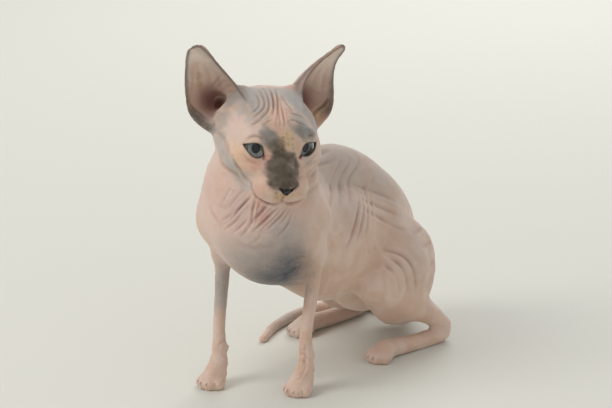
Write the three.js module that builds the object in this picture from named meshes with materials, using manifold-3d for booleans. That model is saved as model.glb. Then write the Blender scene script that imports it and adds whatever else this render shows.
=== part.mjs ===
// A sphynx kitten of about three months, life size, sitting upright with its head turned to its left.
// Millimetres. It faces -Y, its left side is +X, up is +Z, and the floor is z = 0.
// Each part of the body is grown from balls, bars and ropes that blend into one another. The whole
// skin is then meshed part by part and parted with thin cuts, so that every part is its own solid.
import * as THREE from "three";
import { mergeVertices } from "three/addons/utils/BufferGeometryUtils.js";
import Module from "manifold-3d";

const wasm = await Module();
wasm.setup();

// Driving sizes and the pose
const GAP = 0.3; // between two parts that meet
const SKIN_ROOM = 0.35; // the solids stand this far outside the skin's own surface
const HEAD_TURN = 56; // degrees the face is turned from straight ahead towards the cat's left
const HEAD_DROP = 19; // degrees the nose points down
const HEAD_TILT = -4.7; // degrees the head leans to its own right
const HIP_TURN = -10; // degrees the hips are turned against the chest
const HEAD_AT = [0.2, -71.4, 176];
const CHEST_AT = [-7, -66, 0];
const HIPS_AT = [-2, 66, 0];
const EYE_RADIUS = 9.2;
const EYE_PLACE = [16.5, 12.0, -0.5]; // of the left eye, in the head's frame
const EYE_LINE = [0.84, -0.41, 0.37]; // from the inner corner of the lids to the outer one
const EYE_AHEAD = [0.25, 0.88, 0.4];
const LID_OPENING = [8.2, 9, 4.3]; // half its width, its depth and half its height
const LID_THICKNESS = 1.4;
const EAR_LENGTH = 49.8;
const EAR_THICKNESS = 1.7;
const EAR_ROOT = [28.0, -11.5, 10.5]; // middle of the left ear's base, in the head's frame
const EAR_UP = [0.462, -0.353, 0.813];
const EAR_OUT = [0.717, -0.39, -0.577];
const FAR = 1e3;
const MESH_CELL = 2.7; // grid of the first mesh of the skin
const BODY_FACES = 2960; // triangles left in the whole skin before it is parted
// Lowest and highest corners of the boxes that hold the body and the head
const BODY_BOX = [[-66, -122, -9], [60, 118, 214]];
const HEAD_BOX = [[-52, -116, 150], [42, -20, 214]];

// Each foreleg's wrist, elbow and shoulder joint, forward of the chest's middle and out to its side
const FORELEGS = {
  left: { side: 1, wrist: [26.7, -6.6], elbow: [28, -12], shoulder: [26, 6] },
  right: { side: -1, wrist: [-29.2, 15.8], elbow: [-30, 11], shoulder: [-26, 21] },
};
const ELBOW_HEIGHT = 90;
const SHOULDER_HEIGHT = 117;
const WRIST_HEIGHT = 26;
const HIND_FOOT_OUT = 40; // the hind foot's middle from the hips' middle
// The four toes of a paw: out from its middle and forward
const TOES = [
  [-6.6, 11],
  [-2.4, 14.5],
  [2.4, 14.5],
  [6.6, 11],
];
const TOE_RADIUS = 4.0;
const TOE_HEIGHT = 3.3;

// Rows up an ear: the height as a share of its length, its inner rim's place (out, front), its outer
// rim's place and how deep the scoop between them is
const EAR_RIMS = [
  [-0.18, -19.0, 9.0, 14.0, 2.5, 16.5],
  [0.0, -17.2, 5.0, 20.8, 1.5, 20.5],
  [0.2, -12.0, -4.6, 23.2, 1.4, 18.8],
  [0.4, -7.8, -8.4, 21.8, -1.9, 13.5],
  [0.6, -4.9, -8.2, 19.2, -6.8, 7.6],
  [0.8, -3.8, -4.5, 14.0, -7.3, 3.2],
  [0.9, -3.1, -2.4, 10.2, -4.8, 1.9],
  [0.95, -2.6, -1.2, 8.0, -3.3, 1.2],
  [0.97, -2.0, -0.8, 6.8, -2.6, 0.9],
  [0.985, -1.3, -0.5, 5.5, -1.9, 0.6],
  [0.995, -0.2, -0.4, 4.1, -1.3, 0.4],
  [1.0, 0.8, -0.4, 2.9, -0.8, 0.2],
];
// Heights at which the ear's facets meet
const EAR_STEPS = [-0.16, 0.0, 0.14, 0.28, 0.42, 0.56, 0.7, 0.82, 0.91, 0.965, 1.012];

// The back from the neck to the rump, and the tail: x, y, z and radius
const BACK = [
  [-6, -56, 141, 14],
  [-7, -20, 141, 13],
  [-8, 14, 137, 14],
  [-6, 48, 118, 15],
  [-3, 77, 87, 15],
  [0, 90, 48, 12],
];
const TAIL = [
  [0, 90, 42, 8.6],
  [0, 101, 25, 7.0],
  [-10, 109, 10, 5.8],
  [-38, 106, 4.6, 5.0],
  [-60, 88, 4.1, 4.5],
  [-70, 58, 3.6, 4.0],
  [-69, 28, 3.0, 3.4],
  [-61, 2, 2.3, 2.7],
];

// Vectors as arrays of three
const radians = (degrees) => (degrees * Math.PI) / 180;
const add = (a, b) => a.map((v, i) => v + b[i]);
const sub = (a, b) => a.map((v, i) => v - b[i]);
const scaled = (a, f) => a.map((v) => v * f);
const dot = (a, b) => a[0] * b[0] + a[1] * b[1] + a[2] * b[2];
const unit = (a) => scaled(a, 1 / Math.sqrt(dot(a, a)));
const cross = (a, b) => [a[1] * b[2] - a[2] * b[1], a[2] * b[0] - a[0] * b[2], a[0] * b[1] - a[1] * b[0]];
const clamp = (v, low, high) => Math.min(Math.max(v, low), high);

// A frame's axes are its left, forward and up directions.
const combine = (axes, v) => add(add(scaled(axes[0], v[0]), scaled(axes[1], v[1])), scaled(axes[2], v[2]));
const within = (axes, inner) => inner.map((v) => combine(axes, v));

function facing(turn, drop = 0, tilt = 0) {
  const [a, b, c] = [turn, drop, tilt].map(radians);
  const ahead = [Math.sin(a), -Math.cos(a), 0];
  const left = [Math.cos(a), Math.sin(a), 0];
  const forward = add(scaled(ahead, Math.cos(b)), [0, 0, -Math.sin(b)]);
  const up = add(scaled(ahead, Math.sin(b)), [0, 0, Math.cos(b)]);
  return [
    add(scaled(left, Math.cos(c)), scaled(up, Math.sin(c))),
    forward,
    sub(scaled(up, Math.cos(c)), scaled(left, Math.sin(c))),
  ];
}

// Turns of a piece inside its frame, in degrees: the front raised, and the front swung to the right.
const nose_up = (d) => [
  [1, 0, 0],
  [0, Math.cos(radians(d)), Math.sin(radians(d))],
  [0, -Math.sin(radians(d)), Math.cos(radians(d))],
];
const toed_right = (d) => [
  [Math.cos(radians(d)), Math.sin(radians(d)), 0],
  [-Math.sin(radians(d)), Math.cos(radians(d)), 0],
  [0, 0, 1],
];
const STRAIGHT = [
  [1, 0, 0],
  [0, 1, 0],
  [0, 0, 1],
];

// A solid here has a function that gives the distance from a point to its surface, less than 0 inside,
// and the ball that it lies in. Well away from that ball, the distance to the ball is enough.
const AWAY = 26;
function shape_in(centre, reach, exact) {
  const distance = (p) => {
    const off = Math.hypot(p[0] - centre[0], p[1] - centre[1], p[2] - centre[2]) - reach;
    return off > AWAY ? off : exact(p);
  };
  return { centre, reach, distance };
}

function ball(centre, size, axes = STRAIGHT) {
  return shape_in(centre, Math.max(...size), (p) => {
    const q = sub(p, centre);
    const r = axes.map((axis, i) => dot(q, axis) / size[i]);
    const near = Math.sqrt(dot(r, r));
    const slope = Math.hypot(r[0] / size[0], r[1] / size[1], r[2] / size[2]);
    return (near * (near - 1)) / Math.max(slope, 1e-6);
  });
}

// A round bar whose radius runs from ra at a to rb at b.
function bar(a, b, ra, rb) {
  const run = sub(b, a);
  const n = dot(run, run);
  const fall = ra - rb;
  const slant = n - fall * fall;
  const middle = scaled(add(a, b), 0.5);
  return shape_in(middle, Math.sqrt(n) / 2 + Math.max(ra, rb), (p) => {
    const q = sub(p, a);
    const along = dot(q, run);
    const past = along - n;
    const off = sub(scaled(q, n), scaled(run, along));
    const off2 = dot(off, off);
    const k = Math.sign(fall) * fall * fall * off2;
    if (Math.sign(past) * slant * past * past * n > k) return Math.sqrt(off2 + past * past * n) / n - rb;
    if (Math.sign(along) * slant * along * along * n < k) return Math.sqrt(off2 + along * along * n) / n - ra;
    return (Math.sqrt((off2 * slant) / n) + along * fall) / n - ra;
  });
}

// A smooth curve through rows of numbers, with steps for each span.
function curve(rows, steps) {
  const ends = [
    rows[0].map((v, i) => 2 * v - rows[1][i]),
    ...rows,
    rows.at(-1).map((v, i) => 2 * v - rows.at(-2)[i]),
  ];
  const out = [];
  for (let i = 0; i + 1 < rows.length; i++) {
    const [a, b, c, d] = ends.slice(i, i + 4);
    for (let s = 0; s < steps; s++) {
      const t = s / steps;
      const at = (j) =>
        0.5 *
        (2 * b[j] +
          (c[j] - a[j]) * t +
          (2 * a[j] - 5 * b[j] + 4 * c[j] - d[j]) * t * t +
          (3 * b[j] - a[j] - 3 * c[j] + d[j]) * t * t * t);
      out.push(b.map((_, j) => at(j)));
    }
  }
  out.push(rows.at(-1));
  return out;
}

// The smallest box round the balls of some solids gives the ball that they all lie in.
function around(solids) {
  const low = [0, 1, 2].map((i) => Math.min(...solids.map((s) => s.centre[i] - s.reach)));
  const high = [0, 1, 2].map((i) => Math.max(...solids.map((s) => s.centre[i] + s.reach)));
  const half = scaled(sub(high, low), 0.5);
  return [add(low, half), Math.sqrt(dot(half, half))];
}

// A rope through rows of x, y, z and radius.
function rope(rows, steps = 5) {
  const points = curve(rows, steps);
  const bars = points.slice(1).map((b, i) => bar(points[i].slice(0, 3), b.slice(0, 3), points[i][3], b[3]));
  return shape_in(...around(bars), (p) => bars.reduce((d, one) => Math.min(d, one.distance(p)), FAR));
}

// Solids in a list join in turn, each with the width over which it blends into those before it. A row
// that ends with CUT is taken away from those before it.
const CUT = true;
const blend = (a, b, width) => {
  const near = Math.max(width - Math.abs(a - b), 0) / width;
  return Math.min(a, b) - (near * near * width) / 4;
};
function joined(list) {
  const bounds = around(list.filter((row) => !row[2]).map(([one]) => one));
  const next = (p) => (d, [one, width, cut]) =>
    cut ? -blend(-d, one.distance(p), width) : blend(d, one.distance(p), width);
  return shape_in(...bounds, (p) => list.reduce(next(p), FAR));
}

class Frame {
  constructor(origin, axes) {
    this.origin = origin;
    this.axes = axes;
  }
  at(...v) {
    return add(this.origin, combine(this.axes, v));
  }
  ball(centre, size, turned = STRAIGHT) {
    return ball(this.at(...centre), size, within(this.axes, turned));
  }
  bar(a, b, ra, rb) {
    return bar(this.at(...a), this.at(...b), ra, rb);
  }
  rope(rows) {
    return rope(rows.map(([x, y, z, r]) => [...this.at(x, y, z), r]));
  }
}
const head_frame = new Frame(HEAD_AT, facing(HEAD_TURN, HEAD_DROP, HEAD_TILT));
const chest_frame = new Frame(CHEST_AT, facing(0));
const hip_frame = new Frame(HIPS_AT, facing(HIP_TURN));

// The head without its ears
function head() {
  const h = head_frame;
  const flesh = [
    [h.ball([0, -9, 0], [29, 31, 26]), 4], // skull
    [h.ball([0, 9, 6], [22, 17, 13], nose_up(-38)), 8], // forehead
    [h.ball([0, -22, -8], [23, 19, 19]), 10], // back of the head
    [h.bar([-13, -18, 10], [13, -18, 10], 12.6, 12.6), 8], // crown between the ears
  ];
  for (const side of [-1, 1]) {
    flesh.push(
      [h.ball([side * 24, 3, -7], [10.5, 17, 11], toed_right(side * 14)), 8], // cheek bone
      [h.ball([side * 19.5, -5, -16.4], [11, 15, 10.4]), 8], // jaw muscle
      [h.bar([side * 15.5, 0, -17.5], [side * 4.2, 20.5, -21.5], 7, 4.2), 7], // lower jaw
      [h.bar([side * 10, 17.5, 8.5], [side * 20, 13.5, 9.5], 3.6, 3.6), 6], // brow
      [h.bar([side * 12, 21.5, -9.5], [side * 24, 12, -7], 5.5, 5.5), 6], // below the eye
      [h.bar([side * 11, 23.5, -12.5], [side * 22.5, 9, -11], 5.4, 6.6), 6], // cheek in front of the jaw
      [h.ball([side * 9, 28.8, -19.6], [9.9, 9.8, 9.6], toed_right(side * 14)), 3], // whisker pad
    );
  }
  flesh.push(
    [h.bar([0, 16, 5], [0, 34.5, -10.5], 7.5, 5.2), 6], // bridge of the nose
    [h.bar([0, 22, -12], [0, 31, -17], 11, 7.6), 6], // muzzle
    [h.ball([0, 24.5, -25], [6.2, 6.3, 4.1]), 3], // chin
    [h.ball([0, 37.2, -14.4], [5.8, 4, 4]), 2.5], // nose
  );
  const lid = EYE_RADIUS + LID_THICKNESS;
  for (const side of [-1, 1]) {
    const e = ear_frame(side);
    const root = [
      [e.bar([-9, -14, -7], [-11, -13, 9], 7.5, 2), 4],
      [e.bar([9, -20, 8], [2, -20, -4], 7, 9), 6],
    ];
    flesh.push(
      [h.ball(eye_place(side), [lid, lid, lid]), 2.5],
      [h.ball([side * 26.5, -15, -1], [8, 13, 12]), 8], // temple below the ear
      [joined(root), 6],
      [e.ball([3, -1, 18.5], [18, 9.5, 14.5]), 3, CUT], // the temple makes way for the ear's scoop
      [e.bar([10, -11, 11], [6, -18, 2], 7, 3.6), 4, CUT], // ear canal
    );
  }
  return joined(flesh);
}
const eye_place = (side) => [side * EYE_PLACE[0], EYE_PLACE[1], EYE_PLACE[2]];

// The opening of the lids, whose line from the inner to the outer corner slants back and up
function lid_opening(side) {
  const line = unit(EYE_LINE);
  const ahead = unit(sub(EYE_AHEAD, scaled(line, dot(EYE_AHEAD, line))));
  const axes = [line, ahead, cross(line, ahead)].map(([x, y, z]) => [x * side, y, z]);
  return new Frame(head_frame.at(...eye_place(side)), within(head_frame.axes, axes));
}

function ear_frame(side) {
  const up = unit(EAR_UP);
  const out = unit(sub(EAR_OUT, scaled(up, dot(EAR_OUT, up))));
  const axes = [out, cross(up, out), up].map(([x, y, z]) => [x * side, y, z]);
  return new Frame(head_frame.at(side * EAR_ROOT[0], EAR_ROOT[1], EAR_ROOT[2]), within(head_frame.axes, axes));
}

function neck() {
  const nape = head_frame.at(1, -17, -10);
  return rope([
    [-8, -74, 118, 34],
    [-13.5, -72, 141, 33],
    [...nape, 16],
  ]);
}

function trunk() {
  const lean = unit([0, -0.8, 0.6]); // the ribs' long axis
  const ribs = [[1, 0, 0], lean, cross([1, 0, 0], lean)];
  return joined([
    [ball([-7, -48, 109.5], [32.5, 54, 39.5], ribs), 4],
    [ball([-5, -2, 87.5], [34, 44, 42.5]), 14], // belly
    [ball([-4, 46, 72], [32, 42, 48]), 14], // loin
    [ball([-3, -68, 98], [21, 24, 22]), 12], // breast
    [rope(BACK), 10],
    [hip_frame.ball([0, -16, 34], [27, 20, 30]), 10], // buttocks
  ]);
}

function paw(frame, x, y) {
  const toes = TOES.map(([out, ahead]) => [
    frame.bar([x + out * 0.6, y + 3, 8.5], [x + out, y + ahead, TOE_HEIGHT], 3.6, TOE_RADIUS),
    2,
  ]);
  return joined([...toes, [frame.ball([x, y + 6, 3.2], [7.5, 7, 4]), 3]]);
}

function foreleg({ side, wrist, elbow, shoulder }) {
  const c = chest_frame;
  const [x, y] = wrist;
  const blade_top = [side * 15, elbow[1] - 8, 150];
  return joined([
    [c.bar([...shoulder, SHOULDER_HEIGHT], blade_top, 12, 9), 4], // shoulder blade
    [c.bar([...shoulder, SHOULDER_HEIGHT + 4], [...elbow, ELBOW_HEIGHT + 1], 10.5, 6), 8], // upper arm
    [c.ball([side * 27, elbow[1] + 2, 120], [10.5, 15.5, 17]), 10], // its muscle
    [
      c.rope([
        [elbow[0], elbow[1] - 1, ELBOW_HEIGHT + 4, 6],
        [elbow[0], elbow[1], ELBOW_HEIGHT - 18, 4.7],
        [x, y, 42, 4.1],
        [x, y, WRIST_HEIGHT, 4.9],
        [x, y + 1, 15, 5.1],
      ]),
      6,
    ],
    [c.ball([x, y - 5, 24], [3, 3.2, 3.6]), 3], // wrist pad
    [c.bar([x, y + 1, 15], [x, y + 8, 8], 5.6, 6.6), 4],
    [paw(c, x, y), 3],
  ]);
}

function hindleg(side) {
  const h = hip_frame;
  const out = side * HIND_FOOT_OUT;
  return joined([
    [h.ball([side * 25, 8, 54], [18, 36, 38], toed_right(-side * 8)), 4], // thigh
    [
      h.rope([
        [side * 27, 16, 60, 22],
        [side * 33, 34, 62, 17],
        [side * 36, 48, 58, 12],
      ]),
      10,
    ],
    [
      h.rope([
        [side * 37, 46, 54, 11],
        [side * 37, 22, 40, 11],
        [side * 39, -6, 24, 8],
        [side * 41, -17, 15, 6.2],
      ]),
      8,
    ],
    [
      h.rope([
        [side * 41, -21, 12, 5.6],
        [side * 41, -17, 6, 6.2],
        [side * 40, 8, 5.4, 5.8],
        [side * 39, 34, 7, 6.4],
      ]),
      4,
    ],
    [paw(h, out - side, 34), 3],
  ]);
}

const whole_body = joined([
  [trunk(), 10],
  [neck(), 14],
  [foreleg(FORELEGS.right), 9],
  [hindleg(-1), 6],
  [foreleg(FORELEGS.left), 9],
  [hindleg(1), 6],
  [head(), 6],
]);

// Meshing: in each cell of a grid, one vertex for each sheet of the surface that passes through the cell.
// The vertices are then moved onto the surface.
function settle(distance, p, reach) {
  const e = 0.2;
  const slope = [0, 1, 2].map((i) => {
    const step = [0, 0, 0];
    step[i] = e;
    return (distance(add(p, step)) - distance(sub(p, step))) / (2 * e);
  });
  const away = distance(p) / Math.max(dot(slope, slope), 0.2);
  return sub(p, scaled(slope, clamp(away, -reach, reach)));
}

// A cell's corners are numbered by bits, 4 for x, 2 for y and 1 for z. An edge is named by its lower
// corner and its direction's bit, and a face by the four corners round it.
const CORNERS = [0, 1, 2, 3, 4, 5, 6, 7].map((c) => [c >> 2, (c >> 1) & 1, c & 1]);
const FACES = [4, 2, 1].flatMap((n) => {
  const [a, b] = [4, 2, 1].filter((v) => v !== n);
  return [0, n].map((c) => [c, c + a, c + a + b, c + b]);
});
const edge_name = (a, b) => Math.min(a, b) * 8 + (a ^ b);

// The sheets in a cell, each as a list of the edges that it crosses
function sheets(d) {
  const sheet_of = new Map();
  const link = (a, b) => {
    const both = [...(sheet_of.get(a) ?? [a]), ...(sheet_of.get(b) ?? [b])];
    const sheet = [...new Set(both)];
    for (const edge of sheet) sheet_of.set(edge, sheet);
  };
  for (const face of FACES) {
    const crossed = [0, 1, 2, 3].filter((i) => d[face[i]] < 0 !== d[face[(i + 1) % 4]] < 0);
    const name = (i) => edge_name(face[i % 4], face[(i + 1) % 4]);
    if (crossed.length === 2) link(name(crossed[0]), name(crossed[1]));
    if (crossed.length === 4) for (const i of [0, 1, 2, 3]) if (d[face[i]] < 0) link(name(i + 3), name(i));
  }
  return new Set(sheet_of.values());
}

function meshed(distance, low, high, cell) {
  const count = low.map((v, i) => Math.ceil((high[i] - v) / cell) + 1);
  const place = (i, j, k) => [low[0] + i * cell, low[1] + j * cell, low[2] + k * cell];
  const number = (i, j, k) => (i * count[1] + j) * count[2] + k;
  const values = new Float64Array(count[0] * count[1] * count[2]);
  const rim = (i, n) => i === 0 || i === n - 1;
  for (let i = 0; i < count[0]; i++)
    for (let j = 0; j < count[1]; j++)
      for (let k = 0; k < count[2]; k++) {
        const edge = rim(i, count[0]) || rim(j, count[1]) || rim(k, count[2]);
        const d = distance(place(i, j, k));
        values[number(i, j, k)] = edge ? Math.max(d, cell * 0.5) : d;
      }
  const vertices = [];
  const vertex_at = new Map();
  for (let i = 0; i + 1 < count[0]; i++)
    for (let j = 0; j + 1 < count[1]; j++)
      for (let k = 0; k + 1 < count[2]; k++) {
        const d = CORNERS.map(([a, b, c]) => values[number(i + a, j + b, k + c)]);
        if (d.every((v) => v < 0) || d.every((v) => v >= 0)) continue;
        for (const sheet of sheets(d)) {
          const crossings = sheet.map((edge) => {
            const [m, n] = [edge >> 3, (edge >> 3) | (edge & 7)];
            const t = d[m] / (d[m] - d[n]);
            return CORNERS[m].map((v, x) => v + (CORNERS[n][x] - v) * t);
          });
          const mean = scaled(crossings.reduce(add), 1 / crossings.length);
          for (const edge of sheet) vertex_at.set(number(i, j, k) * 64 + edge, vertices.length);
          vertices.push(add(place(i, j, k), scaled(mean, cell)));
        }
      }
  const faces = [];
  for (let i = 0; i + 1 < count[0]; i++)
    for (let j = 0; j + 1 < count[1]; j++)
      for (let k = 0; k + 1 < count[2]; k++) {
        const here = values[number(i, j, k)] < 0;
        [4, 2, 1].forEach((bit, axis) => {
          const [x, y, z] = CORNERS[bit];
          if (here === values[number(i + x, j + y, k + z)] < 0) return;
          const [u, v] = [CORNERS[[2, 1, 4][axis]], CORNERS[[1, 4, 2][axis]]];
          const round = [[1, 1], [0, 1], [0, 0], [1, 0]].map(([a, b]) => {
            const back = u.map((_, n) => a * u[n] + b * v[n]);
            const corner = back[0] * 4 + back[1] * 2 + back[2];
            return vertex_at.get(number(i - back[0], j - back[1], k - back[2]) * 64 + corner * 8 + bit);
          });
          const [a, b, c, e] = here ? round : round.reverse();
          faces.push([a, b, c], [a, c, e]);
        });
      }
  return [vertices.map((p) => settle(distance, p, cell / 2)), faces];
}

// Thinning: the edges whose loss moves the surface least are closed up, until few enough faces are left.
// Each vertex sums the planes of the faces that it stood for, so that its distance from them can be told.
function thinned([points, all_faces], goal, weight) {
  let faces = all_faces;
  points = points.slice();
  const normal = (f, at) => cross(sub(at(f[1]), at(f[0])), sub(at(f[2]), at(f[0])));
  const here = (v) => points[v];
  const planes = points.map(() => new Float64Array(10));
  for (const f of faces) {
    const across = normal(f, here);
    const area = Math.sqrt(dot(across, across));
    if (area < 1e-9) continue;
    const n = [...scaled(across, 1 / area), 0];
    n[3] = -dot(n.slice(0, 3), here(f[0]));
    const heavy = area * weight(here(f[0]));
    for (const v of f) {
      let m = 0;
      for (let i = 0; i < 4; i++) for (let j = i; j < 4; j++) planes[v][m++] += n[i] * n[j] * heavy;
    }
  }
  const miss = (q, [x, y, z]) =>
    q[0] * x * x + q[4] * y * y + q[7] * z * z + q[9] +
    2 * (q[1] * x * y + q[2] * x * z + q[5] * y * z + q[3] * x + q[6] * y + q[8] * z);
  // The best place for a vertex that takes the place of two
  const best = (q, a, b) => {
    const rows = [[q[0], q[1], q[2]], [q[1], q[4], q[5]], [q[2], q[5], q[7]]];
    const right = [-q[3], -q[6], -q[8]];
    const size = (r) => dot(r[0], cross(r[1], r[2]));
    const whole = size(rows);
    const middle = scaled(add(a, b), 0.5);
    const spread = (rows[0][0] + rows[1][1] + rows[2][2]) ** 3;
    const choices = [middle, a, b];
    if (Math.abs(whole) > 2e-4 * spread) {
      const solved = [0, 1, 2].map((i) => size(rows.map((r, j) => r.map((v, n) => (n === i ? right[j] : v)))) / whole);
      const off = sub(solved, middle);
      if (dot(off, off) < dot(sub(a, b), sub(a, b))) choices.unshift(solved);
    }
    return choices.map((p) => [miss(q, p), p]).sort((one, two) => one[0] - two[0])[0];
  };
  while (faces.length > goal) {
    const faces_of = points.map(() => []);
    faces.forEach((f, i) => f.forEach((v) => faces_of[v].push(i)));
    const edges = [];
    for (const f of faces)
      for (const [a, b] of [[f[0], f[1]], [f[1], f[2]], [f[2], f[0]]])
        if (a < b) {
          const sum = planes[a].map((v, i) => v + planes[b][i]);
          const [cost, place] = best(sum, points[a], points[b]);
          const run = sub(points[a], points[b]);
          edges.push([cost + 1e-4 * dot(run, run), a, b, place, sum]);
        }
    edges.sort((one, two) => one[0] - two[0]);
    const busy = new Uint8Array(points.length);
    const gone = new Uint8Array(faces.length);
    let left = faces.length;
    const most = edges.length * 0.3;
    for (const [, a, b, place, sum] of edges.slice(0, most)) {
      if (left <= goal) break;
      if (busy[a] || busy[b]) continue;
      const round = (v) => new Set(faces_of[v].flatMap((i) => faces[i]));
      const [by_a, by_b] = [round(a), round(b)];
      const shared = [...by_a].filter((v) => by_b.has(v));
      if (shared.length !== 4 || [...by_a, ...by_b].some((v) => busy[v])) continue;
      const moved = (v) => (v === a || v === b ? place : points[v]);
      const kept = [...faces_of[a], ...faces_of[b]].filter((i) => !(faces[i].includes(a) && faces[i].includes(b)));
      const turned = kept.some((i) => {
        const [before, after] = [normal(faces[i], here), normal(faces[i], moved)];
        return dot(before, after) < 0.3 * Math.sqrt(dot(before, before) * dot(after, after));
      });
      if (turned) continue;
      for (const i of faces_of[a]) if (faces[i].includes(b)) gone[i] = 1;
      for (const i of faces_of[b]) if (!gone[i]) faces[i] = faces[i].map((v) => (v === b ? a : v));
      points[a] = place;
      planes[a] = sum;
      for (const v of [...by_a, ...by_b]) busy[v] = 1;
      left -= 2;
    }
    if (left === faces.length) break;
    faces = faces.filter((_, i) => !gone[i]);
  }
  const used = [...new Set(faces.flat())];
  const renumbered = new Map(used.map((v, i) => [v, i]));
  return [used.map((v) => points[v]), faces.map((f) => f.map((v) => renumbered.get(v)))];
}

// Closed meshes as solids that can be cut and joined
function solid(vertices, faces) {
  return new wasm.Manifold(
    new wasm.Mesh({
      numProp: 3,
      vertProperties: new Float32Array(vertices.flat()),
      triVerts: new Uint32Array(faces.flat()),
    }),
  );
}

function solid_of(geometry, matrix) {
  const bare = geometry.clone();
  bare.deleteAttribute("normal");
  bare.deleteAttribute("uv");
  bare.applyMatrix4(matrix);
  const shape = mergeVertices(bare, 1e-4);
  const corners = Array.from({ length: shape.index.count / 3 }, (_, i) => shape.index.array.slice(3 * i, 3 * i + 3));
  const faces = corners.map((face) => Array.from(matrix.determinant() < 0 ? face.reverse() : face));
  const points = Array.from(shape.attributes.position.array);
  return solid(Array.from({ length: points.length / 3 }, (_, i) => points.slice(3 * i, 3 * i + 3)), faces);
}

function placed(axes, origin) {
  const [x, y, z] = axes.map((v) => new THREE.Vector3(...v));
  return new THREE.Matrix4().makeBasis(x, y, z).setPosition(...origin);
}

// Cutters, each with the room that it leaves to the next part
const block = (frame, low, high) => (room) => {
  const size = high.map((v, i) => v - low[i] + 2 * room);
  const middle = high.map((v, i) => (v + low[i]) / 2);
  return solid_of(new THREE.BoxGeometry(...size), placed(frame.axes, frame.at(...middle)));
};
const egg = (frame, centre, size, rounds = 9) => (room) => {
  const grown = size.map((v) => v + room);
  const axes = frame.axes.map((v, i) => scaled(v, grown[i]));
  const sphere = new THREE.SphereGeometry(1, rounds, Math.round(rounds * 0.6));
  return solid_of(sphere.rotateX(Math.PI / 2), placed(axes, frame.at(...centre)));
};

// A tube through rows of x, y, z and radius, with flat ends
function tube(rows, sides) {
  const vertices = [];
  const faces = [];
  rows.forEach((p, i) => {
    const along = unit(sub(rows[Math.min(i + 1, rows.length - 1)], rows[Math.max(i - 1, 0)]).slice(0, 3));
    const flat = unit(cross([0, 0.02, 1], along));
    const up = cross(along, flat);
    for (let s = 0; s < sides; s++) {
      const a = (2 * Math.PI * (s + 0.5)) / sides;
      const ring = add(scaled(flat, Math.cos(a) * p[3]), scaled(up, Math.sin(a) * p[3]));
      vertices.push(add(p.slice(0, 3), ring));
    }
  });
  const last = (rows.length - 1) * sides;
  for (let s = 0; s < sides; s++) {
    const t = (s + 1) % sides;
    for (let i = 0; i < last; i += sides) faces.push([i + s, i + t, i + sides + t], [i + s, i + sides + t, i + sides + s]);
    if (s > 1) faces.push([0, s, s - 1], [last, last + s - 1, last + s]);
  }
  return solid(vertices, faces);
}

// A cutter round a limb
const sleeve = (frame, rows) => (room) =>
  tube(rows.map(([x, y, z, r]) => [...frame.at(x, y, z), r + room]), 8);

// An ear is a sheet that runs along an arc from its inner to its outer rim, at each height.
const ear_curve = curve(EAR_RIMS, 8);
function ear_arc(u, t, off) {
  const over = ear_curve.findIndex(([height]) => height > u);
  const [low, high] = over < 1 ? [ear_curve.at(-1), ear_curve.at(-1)] : ear_curve.slice(over - 1, over + 1);
  const part = high[0] > low[0] ? (u - low[0]) / (high[0] - low[0]) : 0;
  const [, ia, ib, oa, ob, depth] = low.map((v, i) => v + (high[i] - v) * part);
  const [wide_a, wide_b] = [(oa - ia) / 2, (ob - ib) / 2];
  const half = Math.hypot(wide_a, wide_b);
  const radius = (half * half + depth * depth) / (2 * depth);
  const turn = 2 * t * Math.atan(depth / half);
  const along = (radius + off) * Math.sin(turn);
  const back = (radius + off) * Math.cos(turn) - radius + depth;
  return [
    (oa + ia) / 2 + (along * wide_a + back * wide_b) / half,
    (ob + ib) / 2 + (along * wide_b - back * wide_a) / half,
    u * EAR_LENGTH,
  ];
}

function ear(side) {
  const frame = ear_frame(side);
  const [rows, columns] = [EAR_STEPS.length - 1, 8];
  const vertices = [];
  const row = columns + 1;
  for (const face of [1, -1])
    for (const u of EAR_STEPS)
      for (let j = 0; j <= columns; j++) {
        const t = (2 * j) / columns - 1;
        const half = (EAR_THICKNESS / 2 + SKIN_ROOM) * (Math.abs(t) > 0.99 ? 0.6 : 1);
        vertices.push(frame.at(...ear_arc(u, t, face * half)));
      }
  const layer = (rows + 1) * row;
  const faces = [];
  const quad = (a, b, c, d) => faces.push(...(side > 0 ? [[a, b, c], [a, c, d]] : [[c, b, a], [d, c, a]]));
  for (let i = 0; i < rows; i++)
    for (let j = 0; j < columns; j++) {
      const a = i * row + j;
      quad(a, a + row, a + row + 1, a + 1);
      quad(layer + a, layer + a + 1, layer + a + row + 1, layer + a + row);
    }
  for (let i = 0; i < rows; i++)
    for (const [j, way] of [[0, 1], [columns, -1]]) {
      const [a, b] = [i * row + j, (i + 1) * row + j];
      if (way > 0) quad(a, layer + a, layer + b, b);
      else quad(a, b, layer + b, layer + a);
    }
  for (let j = 0; j < columns; j++)
    for (const [i, way] of [[0, 1], [rows, -1]]) {
      const [a, b] = [i * row + j, i * row + j + 1];
      if (way > 0) quad(a, b, layer + b, layer + a);
      else quad(a, layer + a, layer + b, b);
    }
  return solid(vertices, faces);
}

// Materials
const skin = (colour) => new THREE.MeshStandardMaterial({ color: colour, roughness: 0.55, metalness: 0 });
const rose = skin(0xcdb3a6);
const grey = skin(0x8f8a8a);
const cream = skin(0xd2bfae);
const ear_grey = skin(0x8d7f7c);
const iris = new THREE.MeshStandardMaterial({ color: 0x8fa3a1, roughness: 0.05, metalness: 0 });

const kitten = new THREE.Group();
function show(name, shape, material) {
  const whole = shape.decompose().sort((a, b) => b.volume() - a.volume())[0];
  const mesh = whole.getMesh();
  const geometry = new THREE.BufferGeometry();
  geometry.setAttribute("position", new THREE.BufferAttribute(new Float32Array(mesh.vertProperties), 3));
  geometry.setIndex(new THREE.BufferAttribute(new Uint32Array(mesh.triVerts), 1));
  const flat = geometry.toNonIndexed();
  flat.computeVertexNormals();
  const piece = new THREE.Mesh(flat, material);
  piece.name = name;
  kitten.add(piece);
}

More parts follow.
